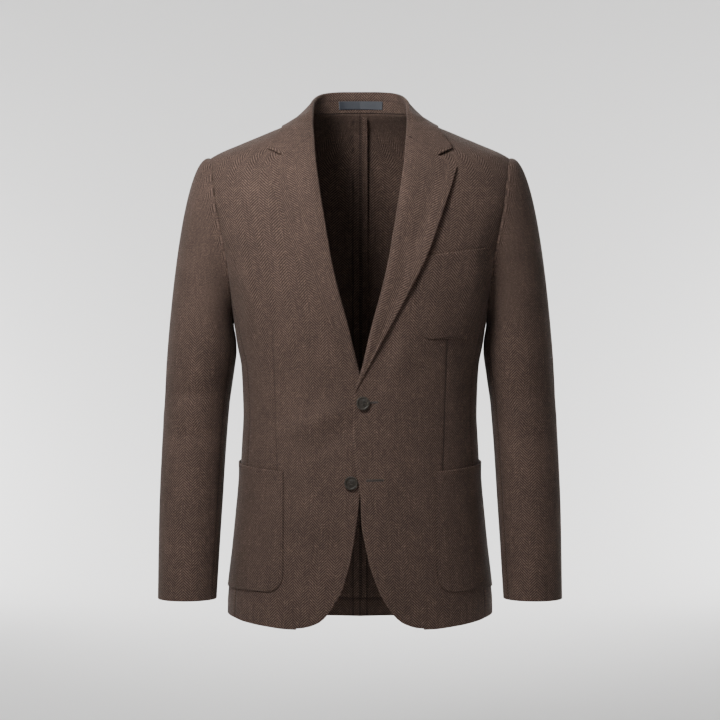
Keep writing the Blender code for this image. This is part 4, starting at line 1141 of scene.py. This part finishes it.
@once("materials", "label satin")
def label_finish(name):
    """Navy satin-woven label, a little lighter where it catches the light."""
    finish = bpy.context.scene.blazer_finish
    made, tree, shader = new_material(name)
    weave = node(tree, "UVMap", uv_map="weave").outputs[0]
    split = node(tree, "SeparateXYZ", {0: weave})
    rib = maths(tree, "MULTIPLY", split.outputs[1], 2 * math.pi / 0.0006)
    rib = maths(tree, "SINE", rib)
    fleck = noise(tree, weave, 900.0, 2.0, 0.6)
    share = maths(tree, "ADD", maths(tree, "MULTIPLY", rib, 0.12), fleck)
    fill(tree, shader, {
        "Base Color": mixed(tree, share, finish.label_dark, finish.label_light),
        "Normal": bump(tree, rib, 0.00008, 0.6), "Roughness": 0.48, "Sheen Weight": 0.25})
    return made


@once("materials", "dark horn")
def horn_finish(name):
    """Dark horn: streaked brown, half polished."""
    finish = bpy.context.scene.blazer_finish
    made, tree, shader = new_material(name)
    stretch = node(tree, "Mapping", {"Vector": node(tree, "TexCoord").outputs["Object"],
                                     "Scale": (60, 60, 420), "Rotation": (0, 0.6, 0)})
    streak = noise(tree, stretch.outputs[0], 1.6, 4.0, 0.6)
    fill(tree, shader, {
        "Base Color": mixed(tree, streak, finish.horn_dark, finish.horn_light),
        "Normal": bump(tree, streak, 0.00005, 0.3), "Roughness": 0.30, "Coat Weight": 0.25})
    return made


@once("materials", "buttonhole twist")
def thread_finish(name):
    """Matt buttonhole twist, a shade darker than the cloth."""
    finish = bpy.context.scene.blazer_finish
    made, tree, shader = new_material(name)
    fibre = noise(tree, node(tree, "TexCoord").outputs["Object"], 3000.0, 2.0, 0.6)
    fill(tree, shader, {
        "Base Color": mixed(tree, fibre, finish.thread_dark, finish.thread_light),
        "Normal": bump(tree, fibre, 0.0001, 0.5), "Roughness": 0.7, "Sheen Weight": 0.15})
    return made


def floor_finish():
    """Plain pale paper, clear when it is seen from behind or below."""
    made, tree, shader = new_material("pale floor")
    fill(tree, shader, {"Base Color": (0.74, 0.735, 0.73, 1), "Roughness": 0.95,
                        "Specular IOR Level": 0.1})
    behind = node(tree, "NewGeometry").outputs["Backfacing"]
    clear = node(tree, "BsdfTransparent").outputs[0]
    mix = node(tree, "MixShader", {0: behind, 1: shader.outputs[0], 2: clear})
    tree.links.new(mix.outputs[0], tree.nodes["Material Output"].inputs["Surface"])
    return made


# ---------------------------------------------------------------- buttons and their sewing
def deselect():
    if bpy.context.object and bpy.context.object.mode != "OBJECT":
        bpy.ops.object.mode_set(mode="OBJECT")
    bpy.ops.object.select_all(action="DESELECT")


def front_place(side, x, height, out):
    """A frame on one front: its point, and a matrix whose Z faces out and Y up."""
    angle = float(angle_at(x * side, height))
    point = Vector(front_cloth(side, angle, height, out))
    ahead = Vector(front_cloth(side, angle, height, out + 0.01))
    z = (ahead - point).normalized()
    right = Vector((1, 0, 0))
    right = (right - z * right.dot(z)).normalized()
    up = z.cross(right)
    turn = Matrix((right, up, z)).transposed().to_4x4()
    return Matrix.Translation(point) @ turn


def settle(piece, place):
    """Put a piece modelled at the origin in its place, with the place in its mesh."""
    piece.data.transform(place)
    piece.matrix_world = Matrix.Identity(4)


def select_faces(piece, wanted):
    """In edit mode, select just the faces for which wanted(face) is true."""
    mesh = bmesh.from_edit_mesh(piece.data)
    for face in mesh.faces:
        face.select = bool(wanted(face))
    mesh.select_flush_mode()
    bmesh.update_edit_mesh(piece.data)


BUTTON_THICK = 0.0036
DISH_DEPTH = 0.0011
HOLE_RADIUS = 0.0009
HOLE_SPACING = 0.0017


def button_blank(name):
    """A turned four-hole button, face up at the origin."""
    deselect()
    bpy.ops.mesh.primitive_cylinder_add(vertices=72, radius=BUTTON_RADIUS, depth=BUTTON_THICK,
                                        location=(0, 0, BUTTON_THICK / 2))
    piece = bpy.context.object
    piece.name = piece.data.name = name
    bpy.ops.object.transform_apply(location=True)
    bpy.ops.object.mode_set(mode="EDIT")
    bpy.ops.mesh.select_mode(type="FACE")
    select_faces(piece, lambda face: face.normal.z > 0.9)
    bpy.ops.mesh.inset(thickness=0.0022, depth=0)
    bpy.ops.mesh.inset(thickness=0.0008, depth=-DISH_DEPTH)
    bpy.ops.mesh.inset(thickness=0.0012, depth=0.0001)
    bpy.ops.mesh.select_all(action="DESELECT")
    bpy.ops.mesh.select_mode(type="EDGE")
    mesh = bmesh.from_edit_mesh(piece.data)
    for edge in mesh.edges:
        ends = [v.co for v in edge.verts]
        level = abs(ends[0].z - ends[1].z) < 1e-6
        edge.select = level and all(math.hypot(v.x, v.y) > BUTTON_RADIUS * 0.70 for v in ends)
    mesh.select_flush_mode()
    bmesh.update_edit_mesh(piece.data)
    bpy.ops.mesh.bevel(offset=0.0007, segments=4, profile=0.6, clamp_overlap=True)
    bpy.ops.object.mode_set(mode="OBJECT")
    for i in (-1, 1):
        for j in (-1, 1):
            bpy.ops.mesh.primitive_cylinder_add(vertices=16, radius=HOLE_RADIUS, depth=0.02,
                                                location=(i * HOLE_SPACING, j * HOLE_SPACING, 0))
            drill = bpy.context.object
            cut = piece.modifiers.new("hole", "BOOLEAN")
            cut.object = drill
            cut.operation = "DIFFERENCE"
            deselect()
            piece.select_set(True)
            bpy.context.view_layer.objects.active = piece
            bpy.ops.object.modifier_apply(modifier=cut.name)
            bpy.data.objects.remove(drill)
    bpy.ops.object.shade_smooth_by_angle(angle=math.radians(35))
    piece.data.materials.clear()
    piece.data.materials.append(horn_finish())
    return piece


THREAD = 0.00032          # radius of the button thread


def joined(pieces, name):
    """Join sewn pieces into the first one, under this name."""
    deselect()
    for piece in pieces:
        piece.select_set(True)
    bpy.context.view_layer.objects.active = pieces[0]
    bpy.ops.object.join()
    made = bpy.context.object
    made.name = made.data.name = name
    bpy.ops.object.shade_smooth()
    made.data.materials.append(thread_finish())
    return made


def thread_blank(name):
    """Two pairs of strands that bow over the middle of a button's holes."""
    strands = []
    for j in (-1, 1):
        for k in (-1.2, 0, 1.2):
            deselect()
            bpy.ops.mesh.primitive_torus_add(major_segments=24, minor_segments=8,
                                             major_radius=HOLE_SPACING, minor_radius=THREAD,
                                             rotation=(math.pi / 2, 0, 0))
            ring = bpy.context.object
            ring.scale = (1, 1, 0.62)
            ring.location = (0, j * HOLE_SPACING + k * THREAD, BUTTON_THICK - DISH_DEPTH - 0.0003)
            bpy.ops.object.transform_apply(location=True, rotation=True, scale=True)
            strands.append(ring)
    return joined(strands, name)


STITCH = 0.00042          # radius of a buttonhole's stitch
STITCH_PITCH = 0.00062
STITCH_OFF = 0.0013 * 0.62                 # from the slit to the middle of a stitch
END_STITCHES = 8


def worked_hole(name, x0, x1, height0, height1, out):
    """A hand-worked buttonhole: a ring of short strands round a slit."""
    length = math.hypot(x1 - x0, height1 - height0)
    tilt = math.atan2(height1 - height0, x1 - x0)
    spots = []
    for k in range(int(length / STITCH_PITCH) + 1):
        along = -length / 2 + k * STITCH_PITCH
        spots += [(along, STITCH_OFF, 0.0), (along, -STITCH_OFF, math.pi)]
    for k in range(1, END_STITCHES):
        a = -math.pi / 2 + math.pi * k / END_STITCHES
        end, off = length / 2 + STITCH_OFF * math.cos(a), STITCH_OFF * math.sin(a)
        spots += [(end, off, a - math.pi / 2), (-end, off, math.pi / 2 - a)]
    deselect()
    bpy.ops.mesh.primitive_uv_sphere_add(segments=8, ring_count=6, radius=STITCH)
    strand = bpy.context.object
    strand.scale = (0.85, 2.0, 0.9)
    bpy.ops.object.transform_apply(location=False, rotation=False, scale=True)
    copies = [strand]
    for _ in spots[1:]:
        copy = strand.copy()
        copy.data = strand.data.copy()
        bpy.context.scene.collection.objects.link(copy)
        copies.append(copy)
    for (along, off, turn), copy in zip(spots, copies):
        x = (x0 + x1) / 2 + along * math.cos(tilt) - off * math.sin(tilt)
        height = (height0 + height1) / 2 + along * math.sin(tilt) + off * math.cos(tilt)
        place = front_place(1, x, height, out)
        copy.data.transform(place @ Matrix.Rotation(tilt + turn, 4, "Z"))
    return joined(copies, name)


# ---------------------------------------------------------------- operators
class BlazerSizes(bpy.types.PropertyGroup):
    """Sizes that a user of the blazer would change."""
    step: FloatProperty(name="Grid step", description="Way between two lines of a cloth's grid",
                        default=0.0048, min=0.002, max=0.02, unit="LENGTH")
    fine_step: FloatProperty(name="Fine step", description="The same on lapels, collar and pockets",
                             default=0.0030, min=0.001, max=0.02, unit="LENGTH")


class BlazerFinish(bpy.types.PropertyGroup):
    """Colours and weave that a user of the blazer would change."""
    yarn: FloatProperty(name="Yarn", description="Way from one yarn to the next",
                        default=0.00098, min=0.0003, max=0.003, unit="LENGTH")
    band: FloatProperty(name="Band", description="Width of a herringbone band",
                        default=0.0118, min=0.002, max=0.05, unit="LENGTH")
    warp: FloatVectorProperty(name="Warp", description="Colour of the lighter, upright yarn",
                              subtype="COLOR", default=(0.097, 0.0628, 0.0498), min=0, max=1)
    weft: FloatVectorProperty(name="Weft", description="Colour of the darker, level yarn",
                              subtype="COLOR", default=(0.0300, 0.0188, 0.0136), min=0, max=1)
    slubs: FloatProperty(name="Slubs", description="How strongly thick and thin yarns show",
                         default=1.5, min=0, max=4)
    horn_dark: FloatVectorProperty(name="Dark horn", description="Darker streaks of the buttons",
                                   subtype="COLOR", default=(0.009, 0.007, 0.005), min=0, max=1)
    horn_light: FloatVectorProperty(name="Light horn", description="Lighter streaks of the buttons",
                                    subtype="COLOR", default=(0.032, 0.026, 0.018), min=0, max=1)
    thread_dark: FloatVectorProperty(name="Dark thread", description="Shaded side of the thread",
                                     subtype="COLOR", default=(0.016, 0.011, 0.008), min=0, max=1)
    thread_light: FloatVectorProperty(name="Light thread", description="Lit side of the thread",
                                      subtype="COLOR", default=(0.042, 0.029, 0.023), min=0, max=1)
    label_dark: FloatVectorProperty(name="Dark label", description="Darker yarn of the label",
                                    subtype="COLOR", default=(0.008, 0.010, 0.016), min=0, max=1)
    label_light: FloatVectorProperty(name="Light label", description="Lighter yarn of the label",
                                     subtype="COLOR", default=(0.018, 0.022, 0.033), min=0, max=1)


class BLAZER_OT_body(bpy.types.Operator):
    """Make the fronts, backs and side panels, and the back seam's strip"""
    bl_idname = "blazer.body"
    bl_label = "Body panels"

    def execute(self, context):
        step = context.scene.blazer_sizes.step
        for side in (1, -1):
            front_panel(side, step)
            back_panel(side, step)
            side_panel(side, step)
        centre_strip(step)
        return {"FINISHED"}


class BLAZER_OT_sleeves(bpy.types.Operator):
    """Make the top sleeves and the under sleeves"""
    bl_idname = "blazer.sleeves"
    bl_label = "Sleeves"

    def execute(self, context):
        step = context.scene.blazer_sizes.step
        for side in (1, -1):
            sleeve(side, "top", step)
            sleeve(side, "under", step)
        return {"FINISHED"}


class BLAZER_OT_lapels(bpy.types.Operator):
    """Make the two lapels, folded round the fronts' edges"""
    bl_idname = "blazer.lapels"
    bl_label = "Lapels"

    def execute(self, context):
        for side in (1, -1):
            lapel(side, context.scene.blazer_sizes.fine_step)
        return {"FINISHED"}


class BLAZER_OT_collar(bpy.types.Operator):
    """Make the collar and the label inside it"""
    bl_idname = "blazer.collar"
    bl_label = "Collar and label"

    def execute(self, context):
        step = context.scene.blazer_sizes.fine_step
        collar(step)
        label(step)
        return {"FINISHED"}


class BLAZER_OT_pockets(bpy.types.Operator):
    """Make the two patch pockets and the chest pocket"""
    bl_idname = "blazer.pockets"
    bl_label = "Pockets"

    def execute(self, context):
        step = context.scene.blazer_sizes.fine_step
        for side in (1, -1):
            patch(side_name("patch_pocket", side), side, PATCH_INNER, PATCH_WIDTH, PATCH_MOUTH,
                  PATCH_FLOOR, PATCH_CORNER, step)
        patch("chest_pocket", 1, CHEST_INNER, CHEST_WIDTH, CHEST_MOUTH, CHEST_FLOOR,
              CHEST_CORNER, step)
        return {"FINISHED"}


class BLAZER_OT_buttons(bpy.types.Operator):
    """Make the buttons with their thread"""
    bl_idname = "blazer.buttons"
    bl_label = "Buttons"

    def execute(self, context):
        for name, x, height, side in BUTTONS:
            place = front_place(side, x, height, 0.0003)
            for make, kind, slot, node_name in ((button_blank, "_horn", "horn", name),
                                                (thread_blank, "_thread", "linen", None)):
                piece = make(name + kind)
                settle(piece, place)
                dress(piece, node_name)
        return {"FINISHED"}


HOLES = (
    # name, from x, to x, from height, to height, how far out of the front
    ("buttonhole_top", 0.0040, 0.0240, -0.4257, -0.4253, 0.0001),
    ("buttonhole_low", 0.0100, 0.0318, -0.5345, -0.5338, 0.0001),
    ("lapel_hole", 0.0965, 0.1110, -0.1035, -0.1105, LAID_GAP + FACING + 0.0002),
)


class BLAZER_OT_buttonholes(bpy.types.Operator):
    """Work the buttonholes of the left front and its lapel"""
    bl_idname = "blazer.buttonholes"
    bl_label = "Buttonholes"

    def execute(self, context):
        for hole in HOLES:
            dress(worked_hole(*hole))
        return {"FINISHED"}


# ---------------------------------------------------------------- stage
CAMERA_HEIGHT = -0.3660
CAMERA_BACK = 3.3
LENS = 113.5
FLOOR_HEIGHT = -1.05
FLOOR_RADIUS = 6.0
FLOOR_RISE = 7.0
FLOOR_BEND = 2.8          # the floor bends up into the wall over this way
AMBIENT = 0.05
LAMPS = (
    # name, place, aimed at, size, power
    ("key", (-0.50, -0.85, 0.40), (-0.10, -0.12, -0.25), (0.4, 0.4), 20),
    ("fill", (0.5, -2.9, 0.5), (0.0, 0.0, -0.40), (1.6, 1.6), 9),
    ("top", (0.0, -0.3, 2.2), (0.0, 0.0, -0.30), (1.6, 1.6), 12),
    ("floor", (0.0, 2.5, 1.35), (0.0, 2.6, -1.10), (2.4, 1.2), 100),
    ("wall left", (-2.3, 3.6, -0.1), (0.0, 5.6, -0.75), (1.4, 1.4), 128),
    ("wall right", (2.3, 3.6, -0.1), (0.0, 5.6, -0.75), (1.4, 1.4), 128),
)


def area_light(name, place, aim, size, power):
    light = bpy.data.lights.new(name, "AREA")
    light.shape = "RECTANGLE"
    light.size, light.size_y = size
    light.energy = power
    lamp = bpy.data.objects.new(name, light)
    lamp.location = place
    lamp.rotation_euler = (Vector(aim) - Vector(place)).to_track_quat("-Z", "Y").to_euler()
    bpy.context.scene.collection.objects.link(lamp)


class BLAZER_OT_stage(bpy.types.Operator):
    """Make the pale floor, the lights and the camera"""
    bl_idname = "blazer.stage"
    bl_label = "Stage"

    def execute(self, context):
        deselect()
        bpy.ops.mesh.primitive_cylinder_add(vertices=128, radius=FLOOR_RADIUS, depth=FLOOR_RISE,
                                            location=(0, 0, FLOOR_HEIGHT + FLOOR_RISE / 2))
        floor = context.object
        floor.name = floor.data.name = "floor"
        bpy.ops.object.transform_apply(location=True)
        bpy.ops.object.mode_set(mode="EDIT")
        bpy.ops.mesh.select_mode(type="FACE")
        select_faces(floor, lambda face: face.normal.z > 0.9)
        bpy.ops.mesh.delete(type="FACE")
        select_faces(floor, lambda face: face.normal.z < -0.9)
        bpy.ops.mesh.bevel(offset=FLOOR_BEND, segments=16)
        bpy.ops.mesh.select_all(action="SELECT")
        bpy.ops.mesh.flip_normals()
        bpy.ops.object.mode_set(mode="OBJECT")
        bpy.ops.object.shade_smooth()
        floor.data.materials.append(floor_finish())
        world = bpy.data.worlds.new("studio")
        world.use_nodes = True
        backdrop = world.node_tree.nodes["Background"]
        backdrop.inputs["Color"].default_value = (1, 1, 1, 1)
        backdrop.inputs["Strength"].default_value = AMBIENT
        context.scene.world = world
        for lamp in LAMPS:
            area_light(*lamp)
        camera = bpy.data.cameras.new("camera")
        camera.lens = LENS
        camera.sensor_width = 36
        eye = bpy.data.objects.new("camera", camera)
        eye.location = (0, -CAMERA_BACK, CAMERA_HEIGHT)
        eye.rotation_euler = (math.pi / 2, 0, 0)
        context.scene.collection.objects.link(eye)
        context.scene.camera = eye
        return {"FINISHED"}


OPERATORS = (BLAZER_OT_body, BLAZER_OT_sleeves, BLAZER_OT_lapels, BLAZER_OT_collar,
             BLAZER_OT_pockets, BLAZER_OT_buttons, BLAZER_OT_buttonholes, BLAZER_OT_stage)


class BLAZER_PT_panel(bpy.types.Panel):
    """The blazer's sizes, colours and pieces in the sidebar"""
    bl_idname = "BLAZER_PT_panel"
    bl_label = "Blazer"
    bl_space_type = "VIEW_3D"
    bl_region_type = "UI"
    bl_category = "Blazer"

    def draw(self, context):
        for group in (context.scene.blazer_sizes, context.scene.blazer_finish):
            for name in group.bl_rna.properties.keys():
                if name not in ("rna_type", "name"):
                    self.layout.prop(group, name)
        for operator in OPERATORS:
            self.layout.operator(operator.bl_idname)


CLASSES = (BlazerSizes, BlazerFinish, *OPERATORS, BLAZER_PT_panel)


def register():
    for entry in CLASSES:
        bpy.utils.register_class(entry)
    bpy.types.Scene.blazer_sizes = PointerProperty(type=BlazerSizes)
    bpy.types.Scene.blazer_finish = PointerProperty(type=BlazerFinish)


def unregister():
    del bpy.types.Scene.blazer_finish
    del bpy.types.Scene.blazer_sizes
    for entry in reversed(CLASSES):
        bpy.utils.unregister_class(entry)


def main():
    register()
    bpy.ops.blazer.body()
    bpy.ops.blazer.sleeves()
    bpy.ops.blazer.lapels()
    bpy.ops.blazer.collar()
    bpy.ops.blazer.pockets()
    bpy.ops.blazer.buttons()
    bpy.ops.blazer.buttonholes()
    bpy.ops.blazer.stage()


if __name__ == "__main__":
    main()
